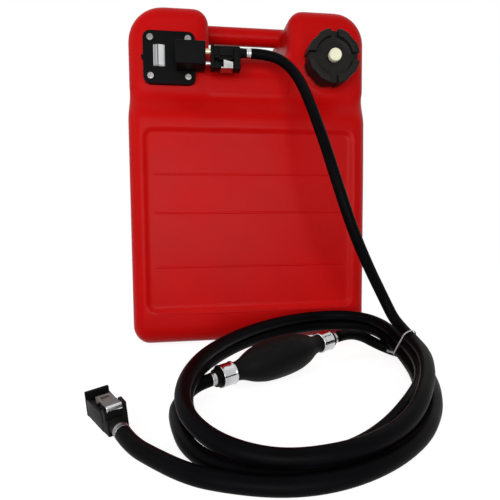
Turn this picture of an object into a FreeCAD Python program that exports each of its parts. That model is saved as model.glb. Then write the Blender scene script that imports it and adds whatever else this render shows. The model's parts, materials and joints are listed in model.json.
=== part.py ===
import FreeCAD, Part
import math
import os

from FreeCAD import Placement, Rotation, Vector

# Portable fuel tank for an outboard engine, standing on its small end.
# Millimetres. +Z is up, -Y is the face with the gauge plate and the filler cap.
# The origin is the middle of the foot, on the surface that the tank stands on.

doc = FreeCAD.newDocument("FuelTank")
sheet = doc.addObject("Spreadsheet::Sheet", "Sizes")

SIZES = {
    # tank
    "tankWidth": 345.0,
    "tankDepth": 190.0,
    "tankHeight": 488.0,
    "tankWall": 3.5,
    "cornerRadius": 30.0,
    "footRadius": 28.0,
    "shoulderRadius": 20.0,
    "bandLow": "=tankHeight - 157",
    "bandHigh": "=tankHeight - 132",
    "bandEase": 7.0,
    "setBack": 14.0,
    "upperInset": 1.0,
    "gripHalf": "=tankWidth / 2 - 112.5",
    "gripFloor": "=tankHeight - 82",
    "gripRadius": 10.0,
    "barLow": "=tankHeight - 28",
    "barHigh": "=tankHeight - 1",
    "barDepth": 40.0,
    "barRadius": 12.0,
    "panelHalf": "=tankWidth / 2 - 18.5",
    "panelLow": 48.0,
    "panelHigh": "=bandLow - 17",
    "panelSlope": 9.0,
    "panelDrop": 4.0,
    "panelCorner": 16.0,
    "ribHeight": 0.8,
    "ribWidth": 1.6,
    "ribMargin": 12.0,
    "ribLow": "=panelLow + 66",
    "ribMiddle": "=panelHigh - 122",
    "ribHigh": "=panelHigh - 67",
    "padHalf": 58.0,
    "padLow": "=bandHigh + 6",
    "padTall": 28.0,
    # filler neck and cap
    "neckX": "=tankWidth / 2 - 57",
    "neckZ": "=tankHeight - 77",
    "neckRadius": 30.0,
    "neckBore": 25.0,
    "neckLength": 28.0,
    "collarHeight": 3.0,
    "threadHeight": 1.6,
    "threadWidth": 3.0,
    "threadStart": 6.0,
    "threadPitch": 8.0,
    "threadClearance": 0.4,
    "capRadius": 37.5,
    "capLength": 29.0,
    "capTop": 10.0,
    "capFaceDrop": 7.0,
    "capFaceRadius": 27.0,
    "capGapWidth": 10.5,
    "capGapDepth": 2.0,
    "capNotchWidth": 12.0,
    "capNotchDepth": 1.3,
    "capGasketThickness": 2.5,
    "sealGap": 0.1,
    "ventKnobRadius": 9.0,
    "ventKnobLength": 9.0,
    "ventStemRadius": 3.5,
    "ventStemLength": 16.0,
    "ventBossRadius": 8.0,
    "ventBossLength": 7.0,
    "ventClearance": 0.3,
    "ventSealThickness": 1.6,
    "ventSealRadius": 6.5,
    # gauge and outlet plate
    "plateX": "=58.5 - tankWidth / 2",
    "plateZ": "=tankHeight - 79",
    "plateSide": 72.0,
    "plateThickness": 7.0,
    "plateCorner": 10.0,
    "seatHeight": 1.0,
    "seatMargin": 2.0,
    "gasketThickness": 1.5,
    "tabWidth": 6.0,
    "tabReach": 2.5,
    "screwPitch": 52.0,
    "screwRadius": 2.2,
    "screwLength": 16.0,
    "screwClearance": 0.3,
    "screwHeadRadius": 4.8,
    "screwHeadHeight": 2.8,
    "screwSlotWidth": 1.1,
    "screwSlotLength": 5.0,
    "screwSlotDepth": 1.2,
    "wellRadius": 24.0,
    "gaugeOffset": 14.0,
    "gaugeZ": "=plateZ + 2",
    "windowWidth": 15.6,
    "windowHeight": 28.0,
    "lensBorder": 2.0,
    "lensSeat": 2.2,
    "lensRise": 5.0,
    "lensWall": 1.4,
    "lensFit": 0.1,
    "lensSealThickness": 1.0,
    "discRadius": 9.0,
    "discThickness": 1.5,
    "discGap": 1.0,
    "spindleLength": "=tankDepth - 50",
    "spindleWidth": 5.0,
    "spindleThickness": 1.2,
    "spindleTwist": 100.0,
    "spindlePinRadius": 1.0,
    "spindlePinLength": 4.0,
    "bearingFit": 0.05,
    "spindleClearance": 0.4,
    "guideRodRadius": 1.5,
    "guideRodPitch": 13.0,
    "guidePlateThickness": 3.0,
    "guidePlateHalf": 13.5,
    "guidePlateWidth": 7.0,
    "guidePostPitch": 24.0,
    "guidePostRadius": 1.5,
    "floatRadius": 10.0,
    "floatLength": 24.0,
    "floatClearance": 0.4,
    "floatGap": 1.0,
    "pickupOffset": 14.0,
    "pickupRadius": 5.0,
    "pickupBore": 3.6,
    "pickupSocket": 4.0,
    "pickupFloorGap": 6.0,
    "strainerRadius": 8.0,
    "strainerLength": 14.0,
    "strainerWall": 1.5,
    # outlet block
    "blockWidth": 40.0,
    "blockHeight": 31.0,
    "blockDepth": 33.0,
    "blockX": "=plateX + 29",
    "blockZ": "=plateZ - 2.5",
    "blockCorner": 2.0,
    "nippleZ": "=blockZ + 4",
    "nippleSet": 10.0,
    "nippleRadius": 4.0,
    "nippleBore": 2.2,
    "nippleReach": 10.5,
    "socketDepth": 6.0,
    "guidePinDrop": 15.5,
    "guidePinRadius": 2.5,
    "guidePinClearance": 0.15,
    "sealWire": 1.2,
    "sealFit": 0.05,
    "connectorGap": 7.0,
    # quick connector at the tank end
    "feedFlange": 4.5,
    "feedFlangeHalf": 17.0,
    "feedFlangeLow": 12.0,
    "feedFlangeHigh": 27.0,
    "feedLength": 41.5,
    "feedHalf": 14.0,
    "feedRearHalf": 14.0,
    "feedLow": 11.5,
    "feedDeck": 10.5,
    "feedBarrel": 7.0,
    "feedShoulder": 11.5,
    "feedShoulderHigh": 23.0,
    "feedRear": 31.0,
    "feedRearHigh": 25.0,
    "feedLatchFront": 13.5,
    "feedLatchRear": 29.5,
    "feedLatchHalf": 12.5,
    "feedLatchHigh": 24.0,
    "feedLatchEar": 11.0,
    "feedLatchLip": 4.0,
    "feedPinX": 25.5,
    "feedPinZ": 17.6,
    "feedBore": 5.6,
    "feedBoreZ": 0.0,
    "feedThumb": 0.0,
    "feedPoppet": 5.2,
    "feedPoppetLength": 8.0,
    "feedPoppetFront": 10.8,
    "feedNeck": 14.5,
    # quick connector at the engine end
    "engineFlange": 3.5,
    "engineFlangeHalf": 11.5,
    "engineFlangeLow": 11.8,
    "engineFlangeHigh": 13.2,
    "engineLength": 58.0,
    "engineHalf": 10.8,
    "engineRearHalf": 9.0,
    "engineLow": 9.6,
    "engineDeck": -4.0,
    "engineBarrel": 5.2,
    "engineShoulder": 4.2,
    "engineShoulderHigh": 0.0,
    "engineRear": 39.0,
    "engineRearHigh": 6.0,
    "engineLatchFront": 5.6,
    "engineLatchRear": 36.5,
    "engineLatchHalf": 7.8,
    "engineLatchHigh": 8.0,
    "engineLatchEar": 8.0,
    "engineLatchLip": 3.6,
    "enginePinX": 10.0,
    "enginePinZ": 3.4,
    "engineBore": 3.6,
    "engineBoreZ": -3.0,
    "engineThumb": 4.0,
    "enginePoppet": 3.2,
    "enginePoppetLength": 8.0,
    "enginePoppetFront": 8.0,
    "engineNeck": 16.0,
    # shared by both connectors
    "flangeCorner": 2.5,
    "bodyCorner": 1.5,
    "grooveDepth": 3.0,
    "grooveTall": 6.0,
    "mouthDepth": 3.5,
    "latchThickness": 1.4,
    "latchClearance": 0.9,
    "latchPinRadius": 1.3,
    "ridgeLong": 2.9,
    "ridgeOver": 2.0,
    "thumbWall": 3.0,
    "latchPinFit": 0.06,
    "springWire": 0.7,
    "springGap": 0.3,
    "latchSpringTurns": 5.0,
    "feedSpringTurns": 6.0,
    "engineSpringTurns": 6.0,
    "neckOuter": 6.0,
    "barbRadius": 3.9,
    "barbBore": 2.6,
    "barbReach": 4.0,
    "barbFit": 0.05,
    "crimpLength": 6.5,
    "crimpWall": 0.7,
    "crimpSet": 0.5,
    "crimpFit": 0.02,
    # engine connector's place on the floor
    "engineX": -181.2,
    "engineY": -308.9,
    "engineZ": 12.4,
    "engineHeading": -65.1,
    "engineDip": 2.6,
    # hose, coil and bulb
    "hoseRadius": 7.0,
    "hoseBore": 4.0,
    "feedStraight": 24.0,
    "engineStraight": 21.0,
    "inletStraight": 19.0,
    "outletStraight": 17.0,
    "coilLong": 180.7,
    "coilShort": 111.5,
    "coilTurn": 53.6,
    "coilX": 37.0,
    "coilY": -288.0,
    "coilInner": 8.0,
    "coilOuter": 14.0,
    "coilShift": 6.0,
    "coilTall": 27.0,
    "coilRound": 6.0,
    "coilMiddle": 12.0,
    "coilTiltX": 4.0,
    "coilTiltY": 1.7,
    "tieAngle": -38.0,
    "tieWire": 1.2,
    "tieTail": 16.0,
    "bulbX": 17.0,
    "bulbY": -235.7,
    "bulbZ": 23.7,
    "bulbHeading": 27.4,
    "bulbRise": 4.5,
    "bulbRadius": 22.5,
    "bulbHalf": 64.0,
    "bulbNeck": 10.2,
    "bulbWall": 4.0,
    "ferruleLength": 22.0,
    "ferruleFit": 0.05,
    "ferruleWall": 1.1,
    "ferruleStop": 2.0,
    "endRadius": 9.5,
    "endLength": 5.0,
    "tailPlug": 14.0,
    "tailNeck": 10.0,
    "discValveRadius": 5.0,
    "discValveThickness": 1.5,
}

for row, (alias, value) in enumerate(SIZES.items(), start=1):
    sheet.set("A%d" % row, alias)
    sheet.set("B%d" % row, str(value))
    sheet.setAlias("B%d" % row, alias)
doc.recompute()


def size(alias):
    """The value of one cell of the sheet, in millimetres or degrees."""
    return float(sheet.get(alias))


def size_of(text):
    """The value of an expression in size names."""
    return float(sheet.evalExpression(cells(text)))


parts = []


def cells(text):
    """An expression for the sheet: each size name in the text gets the sheet's name before it."""
    words = []
    word = ""
    for letter in text + " ":
        if letter.isalnum():
            word += letter
            continue
        words.append("Sizes." + word if word in SIZES else word)
        words.append(letter)
        word = ""
    return "".join(words).strip()


def bind(item, prop, text):
    item.setExpression(prop, cells(text))


TURNS = {
    "Z": Rotation(),
    "X": Rotation(Vector(0, 1, 0), 90),
    "-X": Rotation(Vector(0, 1, 0), -90),
    "Y": Rotation(Vector(1, 0, 0), -90),
    "-Y": Rotation(Vector(1, 0, 0), 90),
}


def seat(item, place, axis="Z"):
    """Turns a piece's own Z to an axis and binds the place of its origin."""
    item.Placement = Placement(Vector(), TURNS[axis])
    for letter, text in zip("xyz", place):
        bind(item, "Placement.Base." + letter, str(text))
    return item


def box(name, low, span):
    item = doc.addObject("Part::Box", name)
    for prop, text in zip(("Length", "Width", "Height"), span):
        bind(item, prop, str(text))
    return seat(item, low)


def cylinder(name, radius, length, place, axis="Z"):
    item = doc.addObject("Part::Cylinder", name)
    bind(item, "Radius", str(radius))
    bind(item, "Height", str(length))
    return seat(item, place, axis)


def cone(name, radius1, radius2, length, place, axis="Z"):
    item = doc.addObject("Part::Cone", name)
    bind(item, "Radius1", str(radius1))
    bind(item, "Radius2", str(radius2))
    bind(item, "Height", str(length))
    return seat(item, place, axis)


def torus(name, radius1, radius2, place, axis="Z"):
    item = doc.addObject("Part::Torus", name)
    bind(item, "Radius1", str(radius1))
    bind(item, "Radius2", str(radius2))
    return seat(item, place, axis)


def fuse(name, *items):
    item = doc.addObject("Part::MultiFuse", name)
    item.Shapes = list(items)
    return item


def cut(name, base, *tools):
    item = doc.addObject("Part::Cut", name)
    item.Base = base
    item.Tool = tools[0] if len(tools) == 1 else fuse(name + "Tools", *tools)
    return item


def group(name, *items):
    """Keeps pieces together under one placement."""
    item = doc.addObject("Part::Compound", name)
    item.Links = list(items)
    return item


def common(name, first, second):
    item = doc.addObject("Part::MultiCommon", name)
    item.Shapes = [first, second]
    return item


def shaped(name, shape):
    """A feature for a form that has no primitive."""
    item = doc.addObject("Part::Feature", name)
    item.Shape = shape
    return item


def rounded(name, base, radius, test):
    """Rounds the edges of a feature that pass a test."""
    doc.recompute()
    item = doc.addObject("Part::Fillet", name)
    item.Base = base
    found = [n for n, edge in enumerate(base.Shape.Edges, start=1) if test(edge)]
    item.Edges = [(n, radius, radius) for n in found]
    return item


def keep(item, label, placement=None):
    """Names a sub-part and lists it for export."""
    item.Label = label
    if placement is not None:
        item.Placement = placement
    parts.append(item)
    return item


def along(edge, axis):
    """True for a straight edge that runs along one axis."""
    if edge.Curve.TypeId != "Part::GeomLine":
        return False
    run = edge.Vertexes[-1].Point - edge.Vertexes[0].Point
    return abs(abs(run.dot(axis)) - run.Length) < 1e-6



def rounded_wire(half_x, half_y, radius, centre, across=Vector(1, 0, 0), up=Vector(0, 1, 0)):
    """A rectangle with round corners about a centre, in the plane of two directions."""
    def point(a, b):
        return centre + across * a + up * b

    edges = []
    corners = [(1, 1), (-1, 1), (-1, -1), (1, -1)]
    diagonal = radius * (1 - math.sqrt(0.5))
    for n, (a, b) in enumerate(corners):
        side_x = (a * half_x, b * (half_y - radius))
        side_y = (a * (half_x - radius), b * half_y)
        first, last = (side_x, side_y) if a * b > 0 else (side_y, side_x)
        middle = (a * (half_x - diagonal), b * (half_y - diagonal))
        edges.append(Part.Arc(point(*first), point(*middle), point(*last)).toShape())
        c, d = corners[(n + 1) % 4]
        next_x = (c * half_x, d * (half_y - radius))
        next_y = (c * (half_x - radius), d * half_y)
        start = next_x if c * d > 0 else next_y
        edges.append(Part.LineSegment(point(*last), point(*start)).toShape())
    return Part.Wire(edges)


def at_height(edge, height):
    box_z = edge.BoundBox
    return abs(box_z.ZMin - height) < 1e-4 and abs(box_z.ZMax - height) < 1e-4


def tank_form(inset, face_inset):
    """The tank's outer form, or its hollow when it is inset by the wall."""
    half_x = size("tankWidth") / 2 - inset
    half_y = size("tankDepth") / 2 - inset - face_inset
    upper_x = half_x - size("upperInset")
    upper_y = half_y - size("setBack") + face_inset
    corner = size("cornerRadius") - inset
    low = size("bandLow")
    high = size("bandHigh")
    top = size("tankHeight") - inset
    ease = size("bandEase")

    lower = Part.Face(rounded_wire(half_x, half_y, corner, Vector(0, 0, inset)))
    lower = lower.extrude(Vector(0, 0, low - ease - inset))
    foot = [e for e in lower.Edges if at_height(e, inset)]
    lower = lower.makeFillet(size("footRadius") - inset, foot)

    rings = []
    steps = [(low - ease, 0.0), (low, 0.1), ((low + high) / 2, 0.5), (high, 0.9), (high + ease, 1.0)]
    for height, share in steps:
        ring_x = half_x + (upper_x - half_x) * share
        ring_y = half_y + (upper_y - half_y) * share
        rings.append(rounded_wire(ring_x, ring_y, corner, Vector(0, 0, height)))
    band = Part.makeLoft(rings, True, False)

    upper = Part.Face(rounded_wire(upper_x, upper_y, corner, Vector(0, 0, high + ease)))
    upper = upper.extrude(Vector(0, 0, top - high - ease))
    gap_x = size("gripHalf") + inset
    floor = size("gripFloor") - inset
    gap = Part.makeBox(2 * gap_x, 2 * half_y, top, Vector(-gap_x, -half_y, floor))
    upper = upper.cut(gap)
    radius = size("gripRadius") + inset
    corners = [e for e in upper.Edges if along(e, Vector(0, 1, 0)) and at_height(e, floor)]
    upper = upper.makeFillet(radius, corners)
    crown = [e for e in upper.Edges if at_height(e, top)]
    upper = upper.makeFillet(size("shoulderRadius") - inset, crown)
    return lower.fuse([band, upper])


def panel_form(side):
    """The shallow recess in one broad face, with a sloping border."""
    half_z = (size("panelHigh") - size("panelLow")) / 2
    middle_z = (size("panelHigh") + size("panelLow")) / 2
    face_y = side * size("tankDepth") / 2
    slope = size("panelSlope")
    drop = size("panelDrop")
    corner = size("panelCorner")
    half_x = size("panelHalf")
    up = Vector(0, 0, 1)
    over = 1.0
    grow = slope * over / drop
    wires = []
    for widen, out in ((grow, over), (-slope, -drop)):
        centre = Vector(0, face_y + side * out, middle_z)
        wires.append(rounded_wire(half_x + widen, half_z + widen, corner + widen, centre, up=up))
    return Part.makeLoft(wires, True, True)


outer = shaped("TankOuter", tank_form(0.0, 0.0))
hollow = shaped("TankHollow", tank_form(size("tankWall"), size("panelDrop")))
recesses = [shaped("TankRecess%d" % n, panel_form(side)) for n, side in enumerate((-1, 1))]


FRONT = "(-tankDepth / 2 + setBack)"
SIGNS = [(a, b) for a in (-1, 1) for b in (-1, 1)]

barReach = "(gripHalf + shoulderRadius + tankWall)"
gripBar = box(
    "GripBar", ("-" + barReach, "-barDepth / 2", "barLow"),
    ("2 * " + barReach, "barDepth", "barHigh - barLow"),
)
gripBar = rounded("GripBarRound", gripBar, size("barRadius"), lambda e: along(e, Vector(1, 0, 0)))

neckRoot = ("neckX", FRONT + " + tankWall", "neckZ")
neck = cylinder("Neck", "neckRadius", "neckLength + tankWall", neckRoot, "-Y")
collar = cylinder("NeckCollar", "capRadius", "tankWall + collarHeight", neckRoot, "-Y")
threads = []
for n in range(2):
    place = ("neckX", FRONT + " - neckLength + threadStart + threadPitch * %d" % n, "neckZ")
    threads.append(
        cylinder("NeckThread%d" % n, "neckRadius + threadHeight", "threadWidth", place, "-Y"),
    )

ribs = []
ribHalf = "(panelHalf - panelSlope - ribMargin / 4)"
for alias in ("ribLow", "ribMiddle", "ribHigh"):
    place = ("-" + ribHalf, "-tankDepth / 2 + panelDrop - ribHeight", alias)
    ribs.append(
        box(alias.capitalize(), place, ("2 * " + ribHalf, "ribHeight + tankWall / 2", "ribWidth")),
    )
padPlace = ("-padHalf", FRONT + " - ribHeight", "padLow")
pad = box("NamePad", padPlace, ("2 * padHalf", "ribHeight + tankWall / 2", "padTall"))

seatSide = "(plateSide + 2 * seatMargin)"
plateSeat = box(
    "PlateSeat",
    ("plateX - %s / 2" % seatSide, FRONT + " - seatHeight", "plateZ - %s / 2" % seatSide),
    (seatSide, "seatHeight + tankWall / 2", seatSide),
)
plateSeat = rounded(
    "PlateSeatRound", plateSeat, size("plateCorner"), lambda e: along(e, Vector(0, 1, 0)),
)

well = cylinder(
    "PlateWell", "wellRadius", "4 * tankWall", ("plateX", FRONT + " - tankWall", "plateZ"), "Y",
)
boreRoot = ("neckX", FRONT + " + 2 * tankWall", "neckZ")
neckBore = cylinder("NeckBore", "neckBore", "neckLength + 3 * tankWall", boreRoot, "-Y")


def screw_places(depth):
    """The four screw places on the plate, at one depth."""
    return [
        ("plateX + %d * screwPitch / 2" % a, depth, "plateZ + %d * screwPitch / 2" % b)
        for a, b in SIGNS
    ]


screwHoles = []
for n, place in enumerate(screw_places(FRONT + " - tankWall")):
    screwHoles.append(cylinder("TankScrewHole%d" % n, "screwRadius", "3 * tankWall", place, "Y"))

shell = cut("TankShellHollow", outer, hollow, *recesses)
solid = fuse("TankShellWhole", shell, gripBar, neck, collar, pad, plateSeat, *threads, *ribs)
keep(cut("TankShell", solid, well, neckBore, *screwHoles), "tank_shell")

# Filler cap: the gasket lies on the neck's rim, and the cap closes over it.

GASKET = "(%s - neckLength - sealGap)" % FRONT
CAPWEB = "(%s - capGasketThickness - sealGap)" % GASKET
CAPFRONT = "(%s - capTop)" % CAPWEB
CAPFACE = "(%s + capFaceDrop)" % CAPFRONT


def at_cap(depth):
    return ("neckX", depth, "neckZ")


gasket = cylinder(
    "CapGasketDisc", "neckRadius + threadHeight", "capGasketThickness", at_cap(GASKET), "-Y",
)
gasketHole = cylinder(
    "CapGasketHole", "neckBore", "3 * capGasketThickness", at_cap(GASKET + " + capGasketThickness"),
    "-Y",
)
keep(cut("CapGasket", gasket, gasketHole), "cap_gasket")

capDisc = cylinder("CapDisc", "capRadius", "capLength", at_cap(CAPFRONT), "Y")
capBore = cylinder(
    "CapBore", "neckRadius + threadHeight + threadClearance", "capLength", at_cap(CAPWEB), "Y",
)
capFace = cylinder("CapFace", "capFaceRadius", "2 * capFaceDrop", at_cap(CAPFACE), "-Y")
capCuts = [capBore, capFace]
for n, (across, deep) in enumerate(
    (("capGapWidth", "3 * capRadius"), ("3 * capRadius", "capGapWidth")),
):
    place = ("neckX - %s / 2" % across, CAPFRONT + " - capFaceDrop", "neckZ - %s / 2" % deep)
    capCuts.append(box("CapGap%d" % n, place, (across, "2 * capFaceDrop", deep)))
cap = cut("CapCut", capDisc, *capCuts)
grooves = []
for n in range(8):
    depth, wide = ("capNotchDepth", "capNotchWidth") if n % 2 else ("capGapDepth", "capGapWidth")
    groove = box(
        "CapGroove%d" % n, ("-%s / 2" % wide, "capRadius - " + depth, "-capLength"),
        (wide, "capRadius", "3 * capLength"),
    )
    turned = group("CapGrooveTurned%d" % n, groove)
    seat(turned, at_cap(CAPFRONT), "-Y")
    turned.Placement.Rotation = TURNS["-Y"] * Rotation(Vector(0, 0, 1), 45.0 * n)
    grooves.append(turned)
boss = cylinder(
    "CapBoss", "ventBossRadius", "ventBossLength + capFaceDrop / 2",
    at_cap(CAPFACE + " + ventSealThickness"), "Y",
)
ventHole = cylinder(
    "CapVentHole", "ventStemRadius + ventClearance", "3 * capTop", at_cap(CAPFRONT), "Y",
)
cap = fuse("CapWithBoss", cut("CapGrooved", cap, *grooves), boss)
keep(cut("FillerCap", cap, ventHole), "filler_cap")

VENTSEAL = "(%s - sealGap)" % CAPFACE
seal = cylinder("VentSealDisc", "ventSealRadius", "ventSealThickness", at_cap(VENTSEAL), "-Y")
sealHole = cylinder(
    "VentSealHole", "ventStemRadius + ventClearance", "3 * ventSealThickness",
    at_cap(VENTSEAL + " + ventSealThickness"), "-Y",
)
keep(cut("VentSeal", seal, sealHole), "vent_seal")
knobBack = "(%s - ventSealThickness - sealGap)" % VENTSEAL
knob = cylinder("VentKnob", "ventKnobRadius", "ventKnobLength", at_cap(knobBack), "-Y")
knob = rounded(
    "VentKnobRound", knob, size("ventClearance") * 4, lambda e: e.BoundBox.YMax < size_of(knobBack) - 1,
)
stem = cylinder("VentStem", "ventStemRadius", "ventStemLength", at_cap(knobBack), "Y")
keep(fuse("VentScrew", knob, stem), "vent_screw")

# Gauge and outlet plate, screwed over the well in the tank's front wall.

SEAT = "(%s - seatHeight)" % FRONT
PLATEBACK = "(%s - gasketThickness)" % SEAT
PLATEFRONT = "(%s - plateThickness)" % PLATEBACK
GAUGEX = "(plateX - gaugeOffset)"
PICKUPX = "(plateX + pickupOffset)"


def square_plate(name, depth, thick):
    place = ("plateX - plateSide / 2", depth, "plateZ - plateSide / 2")
    plain = box(name, place, ("plateSide", thick, "plateSide"))
    return rounded(name + "Round", plain, size("plateCorner"), lambda e: along(e, Vector(0, 1, 0)))


def plate_holes(name, radius):
    return [cylinder("%s%d" % (name, n), radius, "3 * plateThickness", place, "Y")
            for n, place in enumerate(screw_places(PLATEFRONT + " - plateThickness"))]


plateWell = cylinder(
    "GasketWell", "wellRadius", "3 * gasketThickness",
    ("plateX", SEAT + " + gasketThickness", "plateZ"), "-Y",
)
plateGasket = square_plate("GasketSheet", PLATEBACK, "gasketThickness")
keep(
    cut(
        "PlateGasket", plateGasket, plateWell,
        *plate_holes("GasketHole", "screwRadius + screwClearance"),
    ),
    "plate_gasket",
)


def gauge_box(name, grow, depth, thick):
    """A box about the middle of the gauge window."""
    wide = "(windowWidth + %s)" % grow
    tall = "(windowHeight + %s)" % grow
    return box(
        name, ("%s - %s / 2" % (GAUGEX, wide), depth, "gaugeZ - %s / 2" % tall), (wide, thick, tall),
    )


plate = square_plate("PlateSheet", PLATEFRONT, "plateThickness")
tab = box(
    "PlateTab",
    ("plateX - plateSide / 2 - tabReach", PLATEFRONT, "plateZ - tabWidth / 2"),
    ("2 * tabReach", "plateThickness / 2", "tabWidth"),
)
window = gauge_box("Window", "0", PLATEFRONT + " - plateThickness", "3 * plateThickness")
lensPocket = gauge_box(
    "LensPocket", "2 * (lensBorder + lensFit)", PLATEBACK + " - lensSeat - lensSealThickness",
    "plateThickness",
)
pickupSocket = cylinder(
    "PickupSocket", "pickupRadius + bearingFit", "plateThickness",
    (PICKUPX, PLATEBACK + " - pickupSocket", "plateZ"), "Y",
)
pickupPort = cylinder(
    "PickupPort", "pickupBore", "3 * plateThickness",
    (PICKUPX, PLATEFRONT + " - plateThickness", "plateZ"), "Y",
)
plate = fuse("PlateWithTab", plate, tab)
keep(
    cut(
        "GaugePlate", plate, window, lensPocket, pickupSocket, pickupPort,
        *plate_holes("PlateHole", "screwRadius + screwClearance"),
    ),
    "gauge_plate",
)

screws = []
slots = []
for n, place in enumerate(screw_places(PLATEFRONT)):
    head = cylinder("ScrewHead%d" % n, "screwHeadRadius", "screwHeadHeight", place, "-Y")
    screws.append(
        rounded(
            "ScrewHeadRound%d" % n, head, size("screwSlotDepth"),
            lambda e: e.BoundBox.YMax < size_of(PLATEFRONT) - 1,
        ),
    )
    screws.append(cylinder("ScrewShank%d" % n, "screwRadius", "screwLength", place, "Y"))
    for across, tall in (("screwSlotWidth", "screwSlotLength"), ("screwSlotLength", "screwSlotWidth")):
        low = (
            "%s - %s / 2" % (place[0], across), PLATEFRONT + " - 2 * screwHeadHeight",
            "%s - %s / 2" % (place[2], tall),
        )
        slots.append(
            box("ScrewSlot%d%s" % (n, across), low, (across, "screwHeadHeight + screwSlotDepth", tall)),
        )
keep(cut("PlateScrews", fuse("PlateScrewsWhole", *screws), *slots), "plate_screws")

# The lens is a clear half-round bar with a border that the plate holds from behind.

lensBorderBox = gauge_box("LensBorder", "2 * lensBorder", PLATEBACK + " - lensSeat", "lensSeat")
lensBar = gauge_box(
    "LensBar", "-2 * lensFit", PLATEFRONT + " - lensRise", "plateThickness + lensRise - lensSeat / 2",
)
lensCurve = "(((windowWidth / 2) ^ 2 + lensRise ^ 2) / (2 * lensRise))"
lensRound = cylinder(
    "LensRound", lensCurve, "2 * windowHeight",
    (GAUGEX, PLATEFRONT + " - lensRise + " + lensCurve, "gaugeZ - windowHeight"), "Z",
)
lensDome = common("LensDome", lensBar, lensRound)
lensHollow = gauge_box(
    "LensHollow", "-4 * lensWall", PLATEFRONT + " + lensWall", "plateThickness + lensWall",
)
keep(cut("GaugeLens", fuse("LensWhole", lensBorderBox, lensDome), lensHollow), "gauge_lens")

lensSeal = gauge_box(
    "LensSealSheet", "2 * lensBorder", PLATEBACK + " - lensSeat - lensSealThickness",
    "lensSealThickness",
)
lensSealHole = gauge_box(
    "LensSealHole", "0", PLATEBACK + " - lensSeat - 2 * lensSealThickness", "3 * lensSealThickness",
)
keep(cut("LensGasket", lensSeal, lensSealHole), "lens_gasket")

# Gauge: a float on two rods turns a twisted spindle, and the spindle turns the disc behind the lens.

DISCFRONT = "(%s + discGap)" % PLATEBACK
DISCBACK = "(%s + discThickness)" % DISCFRONT
GUIDEBASE = "(%s + guidePlateThickness)" % DISCBACK
GUIDEEND = "(%s + spindleLength)" % DISCBACK


def at_gauge(depth, out="0"):
    return (GAUGEX, depth, "gaugeZ + " + out)


keep(cylinder("GaugeDisc", "discRadius", "discThickness", at_gauge(DISCFRONT), "Y"), "gauge_disc")


def twisted_strip(width, thick, length, twist):
    """A flat strip along +Y that turns evenly about its middle."""
    wires = []
    steps = 10
    for n in range(steps + 1):
        turn = math.radians(twist * n / steps)
        across = Vector(math.cos(turn), 0, math.sin(turn)) * (width / 2)
        up = Vector(-math.sin(turn), 0, math.cos(turn)) * (thick / 2)
        middle = Vector(0, length * n / steps, 0)
        corners = [
            middle + across + up, middle - across + up, middle - across - up, middle + across - up,
        ]
        wires.append(Part.makePolygon(corners + corners[:1]))
    return Part.makeLoft(wires, True, False)


strip = shaped(
    "SpindleStrip",
    twisted_strip(
        size("spindleWidth"), size("spindleThickness"), size("spindleLength"), size("spindleTwist"),
    ),
)
seat(strip, at_gauge(DISCBACK))
pin = cylinder(
    "SpindlePin", "spindlePinRadius", "2 * spindlePinLength",
    at_gauge(GUIDEEND + " - spindlePinLength"), "Y",
)
keep(fuse("GaugeSpindle", strip, pin), "gauge_spindle")

guide = []
for n, depth in enumerate((GUIDEBASE, GUIDEEND + " + bearingFit")):
    place = (GAUGEX + " - guidePlateWidth / 2", depth, "gaugeZ - guidePlateHalf")
    guide.append(
        box(
            "GuidePlate%d" % n, place, ("guidePlateWidth", "guidePlateThickness", "2 * guidePlateHalf"),
        ),
    )
for n, sign in enumerate((-1, 1)):
    rodPlace = at_gauge(GUIDEBASE, "%d * guideRodPitch / 2" % sign)
    guide.append(
        cylinder(
            "GuideRod%d" % n, "guideRodRadius", "spindleLength - guidePlateThickness / 2", rodPlace,
            "Y",
        ),
    )
    postPlace = at_gauge(PLATEBACK, "%d * guidePostPitch / 2" % sign)
    guide.append(
        cylinder(
            "GuidePost%d" % n, "guidePostRadius", "discGap + discThickness + 2 * guidePlateThickness",
            postPlace, "Y",
        ),
    )
spindleHole = cylinder(
    "GuideSpindleHole", "spindleWidth / 2 + spindleClearance", "3 * guidePlateThickness",
    at_gauge(DISCBACK), "Y",
)
pinHole = cylinder(
    "GuidePinHole", "spindlePinRadius + bearingFit", "3 * guidePlateThickness", at_gauge(GUIDEEND), "Y",
)
keep(cut("FloatGuide", fuse("FloatGuideWhole", *guide), spindleHole, pinHole), "float_guide")

FLOAT = "(%s - floatGap - floatLength)" % GUIDEEND
gaugeFloat = cylinder("FloatBody", "floatRadius", "floatLength", at_gauge(FLOAT), "Y")
floatHoles = [
    cylinder(
        "FloatHole", "spindleWidth / 2 + floatClearance", "3 * floatLength",
        at_gauge(FLOAT + " - floatLength"), "Y",
    ),
]
for n, sign in enumerate((-1, 1)):
    place = at_gauge(FLOAT + " - floatLength", "%d * guideRodPitch / 2" % sign)
    floatHoles.append(
        cylinder(
            "FloatRodHole%d" % n, "guideRodRadius + floatClearance", "3 * floatLength", place, "Y",
        ),
    )
keep(cut("GaugeFloat", gaugeFloat, *floatHoles), "gauge_float")

backWall = "(tankDepth / 2 - setBack - tankWall)"
pickupStart = "(%s - pickupSocket)" % PLATEBACK
pickupEnd = "(%s - pickupFloorGap)" % backWall


def at_pickup(depth):
    return (PICKUPX, depth, "plateZ")


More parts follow.
